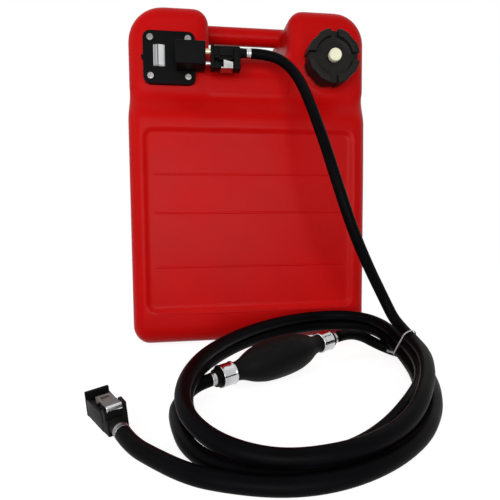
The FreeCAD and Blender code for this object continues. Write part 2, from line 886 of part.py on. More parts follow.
tube = cylinder(
    "PickupOuter", "pickupRadius", pickupEnd + " - " + pickupStart + " - strainerLength / 2",
    at_pickup(pickupStart), "Y",
)
tubeBore = cylinder("PickupInner", "pickupBore", "2 * tankDepth", at_pickup("-tankDepth"), "Y")
keep(cut("PickupTube", tube, tubeBore), "pickup_tube")
strainer = cylinder(
    "StrainerOuter", "strainerRadius", "strainerLength", at_pickup(pickupEnd + " - strainerLength"),
    "Y",
)
strainerSocket = cylinder(
    "StrainerSocket", "pickupRadius + bearingFit", "strainerLength / 2",
    at_pickup(pickupEnd + " - strainerLength"), "Y",
)
strainerHollow = cylinder(
    "StrainerHollow", "pickupBore", "strainerLength - strainerWall",
    at_pickup(pickupEnd + " - strainerLength"), "Y",
)
keep(cut("PickupStrainer", strainer, strainerSocket, strainerHollow), "pickup_strainer")

# Outlet block on the plate, with the nipple and the guide pin of the quick coupling.

BLOCKFRONT = "(%s - blockDepth)" % PLATEFRONT
BLOCKRIGHT = "(blockX + blockWidth / 2)"
NIPPLEY = "(%s + nippleSet)" % BLOCKFRONT
MATING = "(%s + connectorGap)" % BLOCKRIGHT
NIPPLELENGTH = "(socketDepth + connectorGap + nippleReach)"
GUIDEPINZ = "(nippleZ - guidePinDrop)"

block = box(
    "BlockBody", ("blockX - blockWidth / 2", BLOCKFRONT, "blockZ - blockHeight / 2"),
    ("blockWidth", "blockDepth", "blockHeight"),
)
block = rounded(
    "BlockRound", block, size("blockCorner"), lambda e: e.BoundBox.YMin < size_of(PLATEFRONT) - 1,
)
nippleStart = (BLOCKRIGHT + " - socketDepth", NIPPLEY, "nippleZ")
pinStart = (BLOCKRIGHT + " - socketDepth", NIPPLEY, GUIDEPINZ)
blockCuts = [
    cylinder("BlockNippleSocket", "nippleRadius", "blockWidth", nippleStart, "X"),
    cylinder("BlockPinSocket", "guidePinRadius", "blockWidth", pinStart, "X"),
    cylinder(
        "BlockPort", "pickupBore", "blockDepth - nippleSet", (PICKUPX, PLATEFRONT, "nippleZ"), "-Y",
    ),
    cylinder(
        "BlockCrossPort", "nippleBore", BLOCKRIGHT + " - " + PICKUPX, (PICKUPX, NIPPLEY, "nippleZ"),
        "X",
    ),
]
keep(cut("OutletBlock", block, *blockCuts), "outlet_block")
nipple = cylinder("NippleOuter", "nippleRadius", NIPPLELENGTH, nippleStart, "X")
nipple = rounded("NippleRound", nipple, size("sealWire"), lambda e: e.BoundBox.XMin > size_of(MATING))
nippleHole = cylinder("NippleHole", "nippleBore", "2 * " + NIPPLELENGTH, nippleStart, "X")
keep(cut("OutletNipple", nipple, nippleHole), "outlet_nipple")
guidePin = cylinder("GuidePinRod", "guidePinRadius", NIPPLELENGTH, pinStart, "X")
keep(
    rounded("GuidePin", guidePin, size("sealWire"), lambda e: e.BoundBox.XMin > size_of(MATING)),
    "guide_pin",
)
sealPlace = (MATING + " + feedFlange + sealWire + sealFit", NIPPLEY, "nippleZ")
keep(
    torus("NippleSeal", "nippleRadius + sealWire + sealFit", "sealWire", sealPlace, "X"), "nipple_seal",
)

# Quick connectors. Each is built about its hose axis: +X from the mating face to the hose, +Z to the latch.


def coil_spring(radius, wire, length, turns):
    """A wire wound along +Z, lofted through small six-sided sections, twelve to a turn."""
    sides = 6
    steps = round(12 * turns)
    sections = []
    for n in range(steps + 1):
        angle = 2 * math.pi * turns * n / steps
        outward = Vector(math.cos(angle), math.sin(angle), 0)
        along_wire = Vector(-math.sin(angle), math.cos(angle), length / (2 * math.pi * radius * turns))
        upward = outward.cross(along_wire).normalize()
        middle = outward * radius + Vector(0, 0, length * n / steps)
        rim = []
        for side in range(sides):
            around = 2 * math.pi * side / sides
            rim.append(middle + (outward * math.cos(around) + upward * math.sin(around)) * (wire / 2))
        sections.append(Part.makePolygon(rim + rim[:1]))
    return Part.makeLoft(sections, True, True)


def side_view(points, half, name):
    """An extrusion along Y of an outline in the XZ plane."""
    corners = [Vector(x, -half, z) for x, z in points]
    face = Part.Face(Part.makePolygon(corners + corners[:1]))
    return shaped(name, face.extrude(Vector(0, 2 * half, 0)))


def plan_view(points, low, high, name):
    """An extrusion along Z of an outline in the XY plane."""
    corners = [Vector(x, y, low) for x, y in points]
    face = Part.Face(Part.makePolygon(corners + corners[:1]))
    return shaped(name, face.extrude(Vector(0, 0, high - low)))


def barb(name, start, length):
    """A hose barb along +X: a tube with a rounded mouth."""
    rod = cylinder(name + "Rod", "barbRadius", length, (start, "0", "0"), "X")
    bore = cylinder(
        name + "Bore", "barbBore", "3 * (%s)" % length, ("%s - (%s)" % (start, length), "0", "0"), "X",
    )
    return cut(name, rod, bore)


def crimp(name, start):
    ring = cylinder(
        name + "Outer", "neckOuter + crimpFit + crimpWall", "crimpLength", (start, "0", "0"), "X",
    )
    hole = cylinder(
        name + "Inner", "neckOuter + crimpFit", "3 * crimpLength",
        (start + " - crimpLength", "0", "0"), "X",
    )
    return cut(name, ring, hole)


def connector(kind, frame):
    """The nine pieces of one quick connector, seated by its frame."""
    def own(text):
        words = "".join(c if c.isalnum() else " " for c in text).split()
        for word in sorted(set(words), key=len, reverse=True):
            alias = kind + word[:1].upper() + word[1:]
            if word[:1].islower() and alias in SIZES:
                text = text.replace(word, alias)
        return text

    def value(name):
        return size(kind + name)

    def named(text):
        return kind.capitalize() + text

    def block_of(text, low, high):
        low = [own(str(t)) for t in low]
        high = [own(str(t)) for t in high]
        return box(named(text), low, ["(%s) - (%s)" % pair for pair in zip(high, low)])

    thick = size("latchThickness")
    gap = size("latchClearance")
    half = value("LatchHalf")
    ridge = half - thick - gap
    rear = value("Length")

    plain = block_of(
        "FlangeBox", ("0", "-flangeHalf", "-flangeLow"), ("flange", "flangeHalf", "flangeHigh"),
    )
    flangePiece = rounded(
        named("FlangeRound"), plain, size("flangeCorner"), lambda e: along(e, Vector(1, 0, 0)),
    )
    mouth = cylinder(
        named("FlangeMouth"), own("bore + mouthDepth / 4"), own("3 * flange"),
        (own("-flange"), "0", own("boreZ")), "X",
    )
    holes = [mouth]
    if value("FlangeHigh") > size("guidePinDrop") + size("guidePinRadius"):
        pinPlace = (own("-flange"), "0", "guidePinDrop")
        holes.append(
            cylinder(
                named("FlangePinMouth"), "guidePinRadius + guidePinClearance", own("3 * flange"),
                pinPlace, "X",
            ),
        )
    keep(cut(named("Flange"), flangePiece, *holes), kind + "_flange", frame)

    start = value("Flange")
    side = value("Half")
    rear_side = value("RearHalf")
    outline = [(start, -side), (rear, -rear_side), (rear, rear_side), (start, side)]
    pieces = [plan_view(outline, -value("Low"), value("Deck"), named("Deck"))]
    pieces.append(plan_view(outline, -value("Low"), value("RearHigh"), named("Tall")))
    pieces[1] = cut(
        named("TallCut"), pieces[1],
        block_of(
            "TallSpace", ("0", "-2 * flangeHalf", "deck"), ("rear", "2 * flangeHalf", "2 * flangeHigh"),
        ),
    )
    if value("ShoulderHigh") > value("Deck"):
        low = ("flange", "-half", "deck - bodyCorner")
        pieces.append(block_of("Shoulder", low, ("shoulder", "half", "shoulderHigh")))
    ridgeText = "(latchHalf - latchThickness - latchClearance)"
    ridgeLow = ("pinX - ridgeLong", "-" + ridgeText, "deck - bodyCorner")
    pieces.append(block_of("Ridge", ridgeLow, ("pinX + ridgeLong", ridgeText, "pinZ + ridgeOver")))
    pieces.append(
        cylinder(
            named("Barrel"), own("barrel"), own("rear - flange"), (own("flange"), "0", own("boreZ")),
            "X",
        ),
    )
    pieces.append(
        cylinder(
            named("Neck"), "neckOuter", own("neck + bodyCorner"),
            (own("length - bodyCorner"), "0", "0"), "X",
        ),
    )
    bodyCuts = [
        cylinder(
            named("Throat"), own("bore"), own("rear - flange"), (own("flange"), "0", own("boreZ")), "X",
        ),
        cylinder(
            named("Mouth"), own("bore + mouthDepth / 4"), "mouthDepth",
            (own("flange"), "0", own("boreZ")), "X",
        ),
        cylinder(
            named("Socket"), "barbRadius + barbFit", own("length + neck"), (own("rear"), "0", "0"), "X",
        ),
        cylinder(
            named("PinHole"), "latchPinRadius", own("4 * half"),
            (own("pinX"), own("-2 * half"), own("pinZ")), "Y",
        ),
        block_of("SpringSlot", ("pinX - 4 * latchPinRadius", "-latchHalf / 3", "deck"),
                 ("pinX + 4 * latchPinRadius", "latchHalf / 3", "2 * flangeHigh")),
    ]
    if value("Deck") > size("grooveTall") / 2:
        for n, (inner, outer) in enumerate(
            (
                ("-half - grooveDepth", "grooveDepth - half"),
                ("half - grooveDepth", "half + grooveDepth"),
            ),
        ):
            low = ("shoulder", inner, "-grooveTall / 2")
            bodyCuts.append(
                block_of("Groove%d" % n, low, ("rear - bodyCorner", outer, "grooveTall / 2")),
            )
    if value("Thumb") > 0:
        high, deep, far = value("RearHigh") + 1, value("Thumb"), rear + 1
        points = [
            (value("Rear") - 1, high), (value("Rear") - 1, high - deep), (far, high - 1.8 * deep),
            (far, high),
        ]
        recess = side_view(points, value("Half"), named("Thumb"))
        recess.Placement.Base = Vector(0, -size("thumbWall") - value("Half") + value("RearHalf"), 0)
        bodyCuts.append(recess)
    if value("FlangeHigh") > size("guidePinDrop"):
        bodyCuts.append(
            cylinder(
                named("PinWay"), "guidePinRadius + guidePinClearance", own("shoulder"),
                ("0", "0", "guidePinDrop"), "X",
            ),
        )
    body = cut(named("BodyCut"), fuse(named("BodyWhole"), *pieces), *bodyCuts)
    keep(body, kind + "_body", frame)

    front = value("LatchFront")
    back = value("LatchRear")
    high = value("LatchHigh")
    ear = value("LatchEar")
    top = side_view(
        [(front, high - thick), (back, high - thick), (back, high), (front, high)], half,
        named("LatchTop"),
    )
    lip = side_view(
        [
            (back - thick, high - value("LatchLip")), (back, high - value("LatchLip")), (back, high),
            (back - thick, high),
        ],
        half, named("LatchLip"),
    )
    low = high - ear
    pinX = value("PinX")
    reach = 3 * size("latchPinRadius")
    nearEar = max(front, pinX - reach * 2.2)
    farEar = min(back, pinX + reach)
    ears = side_view(
        [(nearEar, low), (farEar, low + ear / 4), (farEar, high), (nearEar, high)], half,
        named("LatchEars"),
    )
    between = block_of("LatchBetween", ("0", "-(latchHalf - latchThickness)", "-latchEar"),
                       ("length", "latchHalf - latchThickness", "latchHigh - latchThickness"))
    ears = cut(named("LatchEarsCut"), ears, between)
    pinBore = cylinder(
        named("LatchBore"), "latchPinRadius + latchPinFit", own("4 * half"),
        (own("pinX"), own("-2 * half"), own("pinZ")), "Y",
    )
    keep(
        cut(named("Latch"), fuse(named("LatchWhole"), top, lip, ears), pinBore), kind + "_latch", frame,
    )

    rod = cylinder(
        named("LatchRod"), "latchPinRadius", own("2 * latchHalf"),
        (own("pinX"), own("-latchHalf"), own("pinZ")), "Y",
    )
    keep(group(named("LatchPin"), rod), kind + "_latch_pin", frame)

    wire = size("springWire")
    coil = coil_spring(size("latchPinRadius") + wire, wire, half / 2, size("latchSpringTurns"))
    coil.Placement = frame.multiply(Placement(Vector(pinX, -half / 4, value("PinZ")), TURNS["Y"]))
    keep(shaped(named("LatchSpring"), coil), kind + "_latch_spring")

    poppetFront = value("PoppetFront")
    poppetEnd = poppetFront + value("PoppetLength")
    poppet = cylinder(
        named("PoppetBody"), own("poppet"), own("poppetLength / 2"),
        (own("poppetFront + poppetLength / 2"), "0", own("boreZ")), "X",
    )
    nose = cone(
        named("PoppetNose"), own("poppet / 2"), own("poppet"), own("poppetLength / 2"),
        (own("poppetFront"), "0", own("boreZ")), "X",
    )
    keep(fuse(named("Poppet"), poppet, nose), kind + "_poppet", frame)
    wire = size("springWire")
    free = value("Rear") - poppetEnd - 2 * size("springGap") - wire
    coil = coil_spring(value("Poppet") - wire, wire, free, value("SpringTurns"))
    coil.Placement = frame.multiply(
        Placement(Vector(poppetEnd + size("springGap") + wire / 2, 0, value("BoreZ")), TURNS["X"]),
    )
    keep(shaped(named("PoppetSpring"), coil), kind + "_poppet_spring")

    keep(
        barb(
            named("Barb"), own("rear + springGap"), own("length - rear + neck + barbReach - springGap"),
        ),
        kind + "_barb", frame,
    )
    keep(crimp(named("Crimp"), own("length + neck - crimpLength - crimpSet")), kind + "_crimp", frame)


mating = Vector(size_of(MATING), size_of(NIPPLEY), size("nippleZ"))
feedFrame = Placement(mating, Rotation(Vector(1, 0, 0), 180))
heading = Rotation(Vector(0, 0, 1), size("engineHeading"))
dip = Rotation(Vector(0, 1, 0), size("engineDip"))
engineFrame = Placement(Vector(size("engineX"), size("engineY"), size("engineZ")), heading * dip)
connector("feed", feedFrame)
connector("engine", engineFrame)

# Priming bulb, built about its own axis: +X from the tank side to the engine side.

bulbTurn = Rotation(Vector(0, 0, 1), size("bulbHeading")) * Rotation(Vector(0, 1, 0), -size("bulbRise"))
bulbFrame = Placement(Vector(size("bulbX"), size("bulbY"), size("bulbZ")), bulbTurn)


def bulb_profile(wall):
    """The bulb turned about X: two straight necks and one smooth belly between them."""
    half = size("bulbHalf")
    end = half + size("ferruleLength") - size("ferruleStop")
    neck = size("bulbNeck") - wall
    belly = size("bulbRadius") - wall
    rise = belly - neck
    shares = [(-0.88, 0.0), (-0.8, 0.13), (-0.62, 0.55), (-0.4, 0.86), (-0.2, 0.97), (0.0, 1.0)]
    shares += [(-x, y) for x, y in reversed(shares[:-1])]
    curve = Part.BSplineCurve()
    points = [Vector(half * x, 0, neck + rise * y) for x, y in shares]
    curve.interpolate(Points=points, InitialTangent=Vector(1, 0, 0), FinalTangent=Vector(1, 0, 0))
    first = Vector(-end, 0, neck)
    last = Vector(end, 0, neck)
    left = Part.makePolygon([Vector(-end, 0, 0), first, points[0]])
    right = Part.makePolygon([points[-1], last, Vector(end, 0, 0), Vector(-end, 0, 0)])
    outline = Part.Wire(left.Edges + [curve.toShape()] + right.Edges)
    return Part.Face(outline).revolve(Vector(), Vector(1, 0, 0), 360)


bulb = cut(
    "Bulb", shaped("BulbOuter", bulb_profile(0.0)), shaped("BulbInner", bulb_profile(size("bulbWall"))),
)
keep(bulb, "bulb", bulbFrame)

tails = []
rings = []
ferrules = []
for n, side in enumerate((-1, 1)):
    axis = "X" if side > 0 else "-X"

    def along_bulb(distance):
        return ("%d * (%s)" % (side, distance), "0", "0")

    ferruleEnd = "(bulbHalf + ferruleLength)"
    neckEnd = "(%s + endLength + tailNeck)" % ferruleEnd
    sleeve = cylinder(
        "Ferrule%d" % n, "bulbNeck + ferruleFit + ferruleWall", "ferruleLength - ferruleStop",
        along_bulb("bulbHalf"), axis,
    )
    sleeveHole = cylinder(
        "FerruleHole%d" % n, "bulbNeck + ferruleFit", "3 * ferruleLength",
        along_bulb("bulbHalf - ferruleLength"), axis,
    )
    ferrules.append(cut("FerruleRing%d" % n, sleeve, sleeveHole))
    plugLength = "(tailPlug + endLength)"
    plug = cylinder(
        "TailPlug%d" % n, "bulbNeck - bulbWall", plugLength, along_bulb(ferruleEnd + " - tailPlug"),
        axis,
    )
    collarPiece = cylinder(
        "TailCollar%d" % n, "bulbNeck + ferruleWall", "ferruleStop",
        along_bulb(ferruleEnd + " - ferruleStop"), axis,
    )
    ring = cylinder("TailEnd%d" % n, "endRadius", "endLength", along_bulb(ferruleEnd), axis)
    sleeveNeck = cylinder(
        "TailNeck%d" % n, "neckOuter", "tailNeck + endLength", along_bulb(ferruleEnd), axis,
    )
    spigot = cylinder(
        "TailBarb%d" % n, "barbRadius", "tailNeck + endLength + barbReach", along_bulb(ferruleEnd),
        axis,
    )
    tailBore = cylinder("TailBore%d" % n, "barbBore", "4 * bulbHalf", along_bulb("bulbHalf / 2"), axis)
    tails.append(
        cut(
            "Tail%d" % n, fuse("TailWhole%d" % n, plug, collarPiece, ring, sleeveNeck, spigot),
            tailBore,
        ),
    )
    ringPlace = "%s - crimpLength - crimpSet" % neckEnd
    outerRing = cylinder(
        "BulbCrimpOuter%d" % n, "neckOuter + crimpFit + crimpWall", "crimpLength",
        along_bulb(ringPlace), axis,
    )
    innerRing = cylinder(
        "BulbCrimpInner%d" % n, "neckOuter + crimpFit", "3 * crimpLength",
        along_bulb(ringPlace + " - crimpLength"), axis,
    )
    rings.append(cut("BulbCrimp%d" % n, outerRing, innerRing))
    discEnd = ferruleEnd + " - tailPlug - sealGap"
    discPlace = ("%d * (%s) - %d * discValveThickness" % (side, discEnd, n), "0", "0")
    disc = cylinder("ValveDisc%d" % n, "discValveRadius", "discValveThickness", discPlace, "X")
    keep(group("ValveDiscPiece%d" % n, disc), ("inlet_valve_disc", "outlet_valve_disc")[n], bulbFrame)
keep(fuse("BulbFerrules", *ferrules), "bulb_ferrules", bulbFrame)
keep(fuse("BulbTails", *tails), "bulb_tails", bulbFrame)
keep(fuse("BulbCrimps", *rings), "bulb_crimps", bulbFrame)

# Coil: one closed ring of the tied turns, flat on its own plane and leaning up at the far side.


def ellipse_disc(name, long_radius, short_radius, shift):
    curve = doc.addObject("Part::Ellipse", name)
    bind(curve, "MajorRadius", long_radius)
    bind(curve, "MinorRadius", short_radius)
    face = doc.addObject("Part::Face", name + "Face")
    face.Sources = [curve]
    slab = doc.addObject("Part::Extrusion", name + "Slab")
    slab.Base = face
    slab.DirMode = "Custom"
    slab.Dir = Vector(0, 0, 1)
    slab.Solid = False
    bind(slab, "LengthFwd", "coilTall")
    curve.Placement = Placement(Vector(), Rotation(Vector(0, 0, 1), size("coilTurn")))
    bind(curve, "Placement.Base.x", "-%s / 3" % shift)
    bind(curve, "Placement.Base.y", "-(%s)" % shift)
    return slab


outside = ellipse_disc("CoilOutside", "coilLong + coilOuter", "coilShort + coilOuter", "coilShift")
inside = ellipse_disc("CoilInside", "coilLong - coilInner", "coilShort - coilInner", "0")
ringPlain = cut("CoilPlain", outside, inside)
doc.recompute()
ringSoft = rounded("CoilRound", ringPlain, size("coilRound"), lambda e: e.BoundBox.ZLength < 1e-3)
coilLean = Rotation(Vector(0, 1, 0), size("coilTiltY")) * Rotation(Vector(1, 0, 0), size("coilTiltX"))
coilFrame = Placement(Vector(size("coilX"), size("coilY"), size("coilMiddle")), coilLean)
keep(ringSoft, "hose_coil", coilFrame)


def route_path(points):
    """Straight runs joined by tangent arcs, as large as the shorter run allows."""
    points = [Vector(*p) for p in points]
    edges = []
    at = points[0]
    radii = []
    for before, corner, after in zip(points, points[1:], points[2:]):
        inward = (corner - before).normalize()
        outward = (after - corner).normalize()
        turn = inward.getAngle(outward)
        shorter = min(before.distanceToPoint(corner), corner.distanceToPoint(after))
        trim = 0.45 * shorter
        radius = trim / math.tan(turn / 2)
        first = corner - inward * trim
        last = corner + outward * trim
        bisector = (outward - inward).normalize()
        centre = corner + bisector * (radius / math.cos(turn / 2))
        middle = centre - bisector * radius
        edges.append(Part.LineSegment(at, first).toShape())
        edges.append(Part.Arc(first, middle, last).toShape())
        radii.append(radius)
        at = last
    edges.append(Part.LineSegment(at, points[-1]).toShape())
    return Part.Wire(edges), radii


def hose(name, label, points):
    """A length of hose along a route, with its bore."""
    path, radii = route_path(points)
    start = Vector(*points[0])
    heading = (Vector(*points[1]) - start).normalize()
    tubes = []
    for radius in (size("hoseRadius"), size("hoseBore")):
        ring = Part.Wire([Part.Circle(start, heading, radius).toShape()])
        tubes.append(path.makePipeShell([ring], True, False))
    tube = tubes[0].cut(tubes[1])
    section = math.pi * (size("hoseRadius") ** 2 - size("hoseBore") ** 2)
    print(label, "length %.0f mm, radii" % path.Length, [round(r) for r in radii])
    print("  volume over section times length %.4f" % (tube.Volume / (section * path.Length)))
    keep(shaped(name, tube), label)


feedEnd = feedFrame.multVec(Vector(size("feedLength") + size("feedNeck"), 0, 0))
engineEnd = engineFrame.multVec(Vector(size("engineLength") + size("engineNeck"), 0, 0))
bulbEnd = size("bulbHalf") + size("ferruleLength") + size("endLength") + size("tailNeck")
bulbIn = bulbFrame.multVec(Vector(-bulbEnd, 0, 0))
bulbOut = bulbFrame.multVec(Vector(bulbEnd, 0, 0))

feedNext = feedEnd + feedFrame.Rotation.multVec(Vector(size("feedStraight"), 0, 0))
engineNext = engineEnd + engineFrame.Rotation.multVec(Vector(size("engineStraight"), 0, 0))
bulbInNext = bulbFrame.multVec(Vector(-bulbEnd - size("inletStraight"), 0, 0))
bulbOutNext = bulbFrame.multVec(Vector(bulbEnd + size("outletStraight"), 0, 0))

# The lead falls from the nipple to the coil, so its upper heights are shares of the nipple's height.
fall = size("nippleZ")
tankLead = [
    feedEnd, feedNext,
    (46, -120, 0.97 * fall), (61, -138, 0.9 * fall), (69, -166, 0.8 * fall), (79, -193, 0.67 * fall),
    (91, -208, 0.54 * fall), (109, -211, 0.41 * fall), (131, -206, 0.3 * fall), (150, -201, 0.22 * fall),
    (166, -203, 0.15 * fall), (176, -215, 42), (182, -235, 29), (183, -260, 24),
]
bulbInlet = [bulbIn, bulbInNext, (-104, -310, 11), (-109.5, -333, 8.3), (-107.5, -357, 7.2)]
bulbOutlet = [
    bulbOut, bulbOutNext, (145, -179, 31.5), (168, -187, 25), (183, -205, 18), (187, -227, 13),
]
engineLead = [
    (-58, -456, 7.1), (-83, -448, 7.1), (-103, -434, 7.1), (-123, -414, 7.3), engineNext, engineEnd,
]
hose("HoseTankLead", "hose_tank_lead", tankLead)
hose("HoseBulbInlet", "hose_bulb_inlet", bulbInlet)
hose("HoseBulbOutlet", "hose_bulb_outlet", bulbOutlet)
hose("HoseEngineLead", "hose_engine_lead", engineLead)


def tie_shape():
    """A wire tie around the coil: a rounded loop and two twisted ends that stand up from it."""
    angle = math.radians(size("tieAngle"))
    turn = Rotation(Vector(0, 0, 1), size("coilTurn"))
    rims = []
    for grow in (-size("coilInner"), size("coilOuter")):
        long_radius = size("coilLong") + grow
        short_radius = size("coilShort") + grow
        rims.append(
            turn.multVec(Vector(long_radius * math.cos(angle), short_radius * math.sin(angle), 0)),
        )
    rims[1] += Vector(-size("coilShift") / 3, -size("coilShift"), 0)
    middle = (rims[0] + rims[1]) / 2 + Vector(0, 0, size("coilTall") / 2)
    across = (rims[1] - rims[0]).normalize()
    tangent = Vector(0, 0, 1).cross(across)
    wire = size("tieWire")
    wide = rims[0].distanceToPoint(rims[1]) / 2 + wire
    tall = size("coilTall") / 2 + wire
    loop = rounded_wire(wide, tall, size("coilRound") + wire, middle, across, Vector(0, 0, 1))
    first = loop.OrderedEdges[0]
    heading = first.tangentAt(first.FirstParameter)
    ring = Part.Wire([Part.Circle(first.valueAt(first.FirstParameter), heading, wire).toShape()])
    band = loop.makePipeShell([ring], True, True)
    knot = middle - across * (wide * 0.6) + Vector(0, 0, tall)
    tails = [
        Part.makeCylinder(wire, size("tieTail"), knot, Vector(0, 0, 0.6) + tangent * s - across * 0.5)
        for s in (-0.5, 0.5)
    ]
    return band.fuse(tails)


tie = tie_shape()
tie.Placement = coilFrame
keep(shaped("TwistTie", tie), "twist_tie")

doc.recompute()
for item in doc.Objects:
    for state in ("Invalid", "Error"):
        if state in item.State:
            raise RuntimeError("%s is %s" % (item.Name, state))
os.makedirs("parts", exist_ok=True)
for item in parts:
    shape = item.Shape
    if shape.isNull() or not shape.isValid() or not shape.Solids:
        raise RuntimeError("%s has no valid shape" % item.Label)
    shape.exportStep("parts/%s.step" % item.Label)
    span = shape.BoundBox
    low = "%.1f %.1f %.1f" % (span.XMin, span.YMin, span.ZMin)
    high = "%.1f %.1f %.1f" % (span.XMax, span.YMax, span.ZMax)
    print(item.Label, len(shape.Solids), "solid(s)", round(shape.Volume), "mm3, from", low, "to", high)
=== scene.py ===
import json
import math

import bmesh
import bpy
import numpy as np
from mathutils import Matrix, Vector

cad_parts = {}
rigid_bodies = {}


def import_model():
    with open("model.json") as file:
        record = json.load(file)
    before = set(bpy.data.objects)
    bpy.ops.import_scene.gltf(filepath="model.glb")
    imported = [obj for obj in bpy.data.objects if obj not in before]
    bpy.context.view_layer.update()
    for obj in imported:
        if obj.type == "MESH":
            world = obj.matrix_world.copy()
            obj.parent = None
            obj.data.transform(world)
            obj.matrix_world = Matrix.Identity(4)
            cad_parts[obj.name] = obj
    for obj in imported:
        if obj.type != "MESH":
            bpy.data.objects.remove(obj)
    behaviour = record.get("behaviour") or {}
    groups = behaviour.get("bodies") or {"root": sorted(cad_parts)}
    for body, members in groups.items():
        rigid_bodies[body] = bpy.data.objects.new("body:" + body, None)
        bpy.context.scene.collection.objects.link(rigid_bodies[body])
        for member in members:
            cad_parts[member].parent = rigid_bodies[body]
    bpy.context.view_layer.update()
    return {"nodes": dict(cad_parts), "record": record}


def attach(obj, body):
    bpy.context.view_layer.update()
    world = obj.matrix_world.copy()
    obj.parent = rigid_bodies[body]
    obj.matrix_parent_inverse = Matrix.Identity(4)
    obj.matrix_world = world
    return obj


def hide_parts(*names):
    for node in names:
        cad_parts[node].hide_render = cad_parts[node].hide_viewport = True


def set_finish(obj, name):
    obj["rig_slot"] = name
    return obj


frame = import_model()
scene = bpy.context.scene
mm = 0.001  # the sizes below are millimetres
print("frame loaded:", len(frame["nodes"]), "nodes")

view = {"place": (-97.58, -744.34, 183.89), "down": 4.01, "right": 8.262, "roll": -0.483, "lens": 32.4,
        "sensor": 36, "nearest": 0.01}


def addObject(name, data):
    added = bpy.data.objects.new(name, data)
    scene.collection.objects.link(added)
    return added


# looks along the heading and dip, then rolls about the line of sight
def placeCamera():
    down, right, roll = (math.radians(view[k]) for k in ("down", "right", "roll"))
    ahead = Vector((math.sin(right) * math.cos(down), math.cos(right) * math.cos(down), -math.sin(down)))
    side = Vector((math.cos(right), -math.sin(right), 0))
    up = side.cross(ahead)
    rolledSide = side * math.cos(roll) + up * math.sin(roll)
    rolledUp = up * math.cos(roll) - side * math.sin(roll)
    data = bpy.data.cameras.new("camera")
    data.lens = view["lens"]
    data.sensor_width = view["sensor"]
    data.clip_start = view["nearest"]
    camera = addObject("camera", data)
    turn = Matrix((rolledSide, rolledUp, -ahead)).transposed().to_4x4()
    camera.matrix_world = Matrix.Translation(Vector(view["place"]) * mm) @ turn
    scene.camera = camera


placeCamera()

hoseSize = {"diameter": 14.0, "coilX": 37.0, "coilY": -288.0, "long": 180.7, "short": 111.5, "turn": 53.6,
            "step": 15.0, "ease": 1.2, "smooth": 6}
# control points from the tank's connector down to the floor
tankLead = [
    (-2, -113.5, 410.5), (22, -113.5, 410.5), (46, -120, 398), (61, -138, 370), (69, -166, 328),
    (79, -193, 275), (91, -208, 222), (109, -211, 168), (131, -206, 123), (149, -200, 92),
    (159, -202, 71), (164.5, -210, 55), (169.5, -227, 44),
]
# degrees round the coil, distance out from its middle line, height
feedTurns = [
    (-55, -5, 37), (-75, -2, 36.5), (-90, 1, 33.5), (-100, 4.5, 30.5), (-110, 9, 26), (-120, 11, 22),
    (-130, 11, 20.6), (-145, 8.5, 20), (-160, 6, 19.5), (-185, 3, 25), (-210, 1, 33), (-240, -6, 41),
    (-270, -7, 42), (-300, -5, 43), (-335, -1, 44), (-360, -2, 45), (-375, -4, 42), (-385, -6, 38),
    (-393, -7, 33), (-398, -8, 30), (-420, -6, 23), (-445, -6, 20.7), (-458, -7.5, 19.6), (-470, -11, 12),
    (-480, -11, 8), (-500, -10.5, 7), (-520, -12, 7.2), (-550, -12.5, 13), (-575, -4, 19.5), (-600, -2, 27),
    (-630, -4, 28), (-660, -3, 28.5), (-695, -1, 30), (-720, -1, 31), (-735, -3, 29), (-745, -6, 24),
    (-753, -8, 18), (-758, -9, 15), (-770, -10, 10), (-785, -9, 7.5), (-800, -7, 7), (-815, -3.5, 7),
    (-835, 2.5, 7), (-850, 4, 7), (-880, 3, 7), (-905, 3, 7), (-935, 2, 7),
]
# control points into the bulb, then out of it and on to the engine's connector
bulbInlet = [(-109, -333, 7.2), (-103, -310, 7.6), (-90.4, -291.4, 13.9), (-74.2, -282.9, 15.6)]
bulbOutlet = [
    (95.8, -194.9, 30.7), (111.5, -186.8, 32.2), (134, -180, 26.5), (153, -179, 15.5), (170, -189, 8.3),
    (183, -207, 7.2),
]
engineTurns = [
    (-50, 6, 7.2), (-60, 5.5, 7.2), (-75, 4, 7.2), (-80, 6, 7), (-95, 10, 7), (-110, 15, 7),
    (-125, 17.5, 7), (-145, 19, 7), (-160, 18, 7),
]
engineLead = [
    (-82.5, -450, 7.1), (-103, -435.5, 7.1), (-122.5, -415.5, 7.3), (-141.2, -395, 8.1), (-150.1, -376, 9),
]


# an ellipse round the coil's middle, its axes longer by the distance out that is read between the keys
def coilPoints(keys):
    table = np.array(keys, float)
    count = round(abs(table[-1, 0] - table[0, 0]) / hoseSize["step"])
    degrees = np.linspace(table[0, 0], table[-1, 0], count + 1)
    out = np.interp(-degrees, -table[:, 0], table[:, 1]) + hoseSize["ease"]
    height = np.interp(-degrees, -table[:, 0], table[:, 2])
    angle, turn = np.radians(degrees), math.radians(hoseSize["turn"])
    a = (hoseSize["long"] + out) * np.cos(angle)
    b = (hoseSize["short"] + out) * np.sin(angle)
    x = hoseSize["coilX"] + a * math.cos(turn) - b * math.sin(turn)
    y = hoseSize["coilY"] + a * math.sin(turn) + b * math.cos(turn)
    return list(zip(x, y, height))


# a round tube on a smooth spline that has the points as its control points
def makeHose(name, points):
    data = bpy.data.curves.new(name, "CURVE")
    data.dimensions = "3D"
    spline = data.splines.new("NURBS")
    spline.points.add(len(points) - 1)
    for point, place in zip(spline.points, points):
        point.co = (*(Vector(place) * mm), 1)
    spline.order_u = 3
    spline.use_endpoint_u = True
    data.resolution_u = hoseSize["smooth"]
    data.bevel_depth = hoseSize["diameter"] / 2 * mm
    data.bevel_resolution = hoseSize["smooth"]
    data.use_fill_caps = True
    hose = addObject(name, data)
    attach(hose, "tank")
    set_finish(hose, "hose_rubber")
    return hose


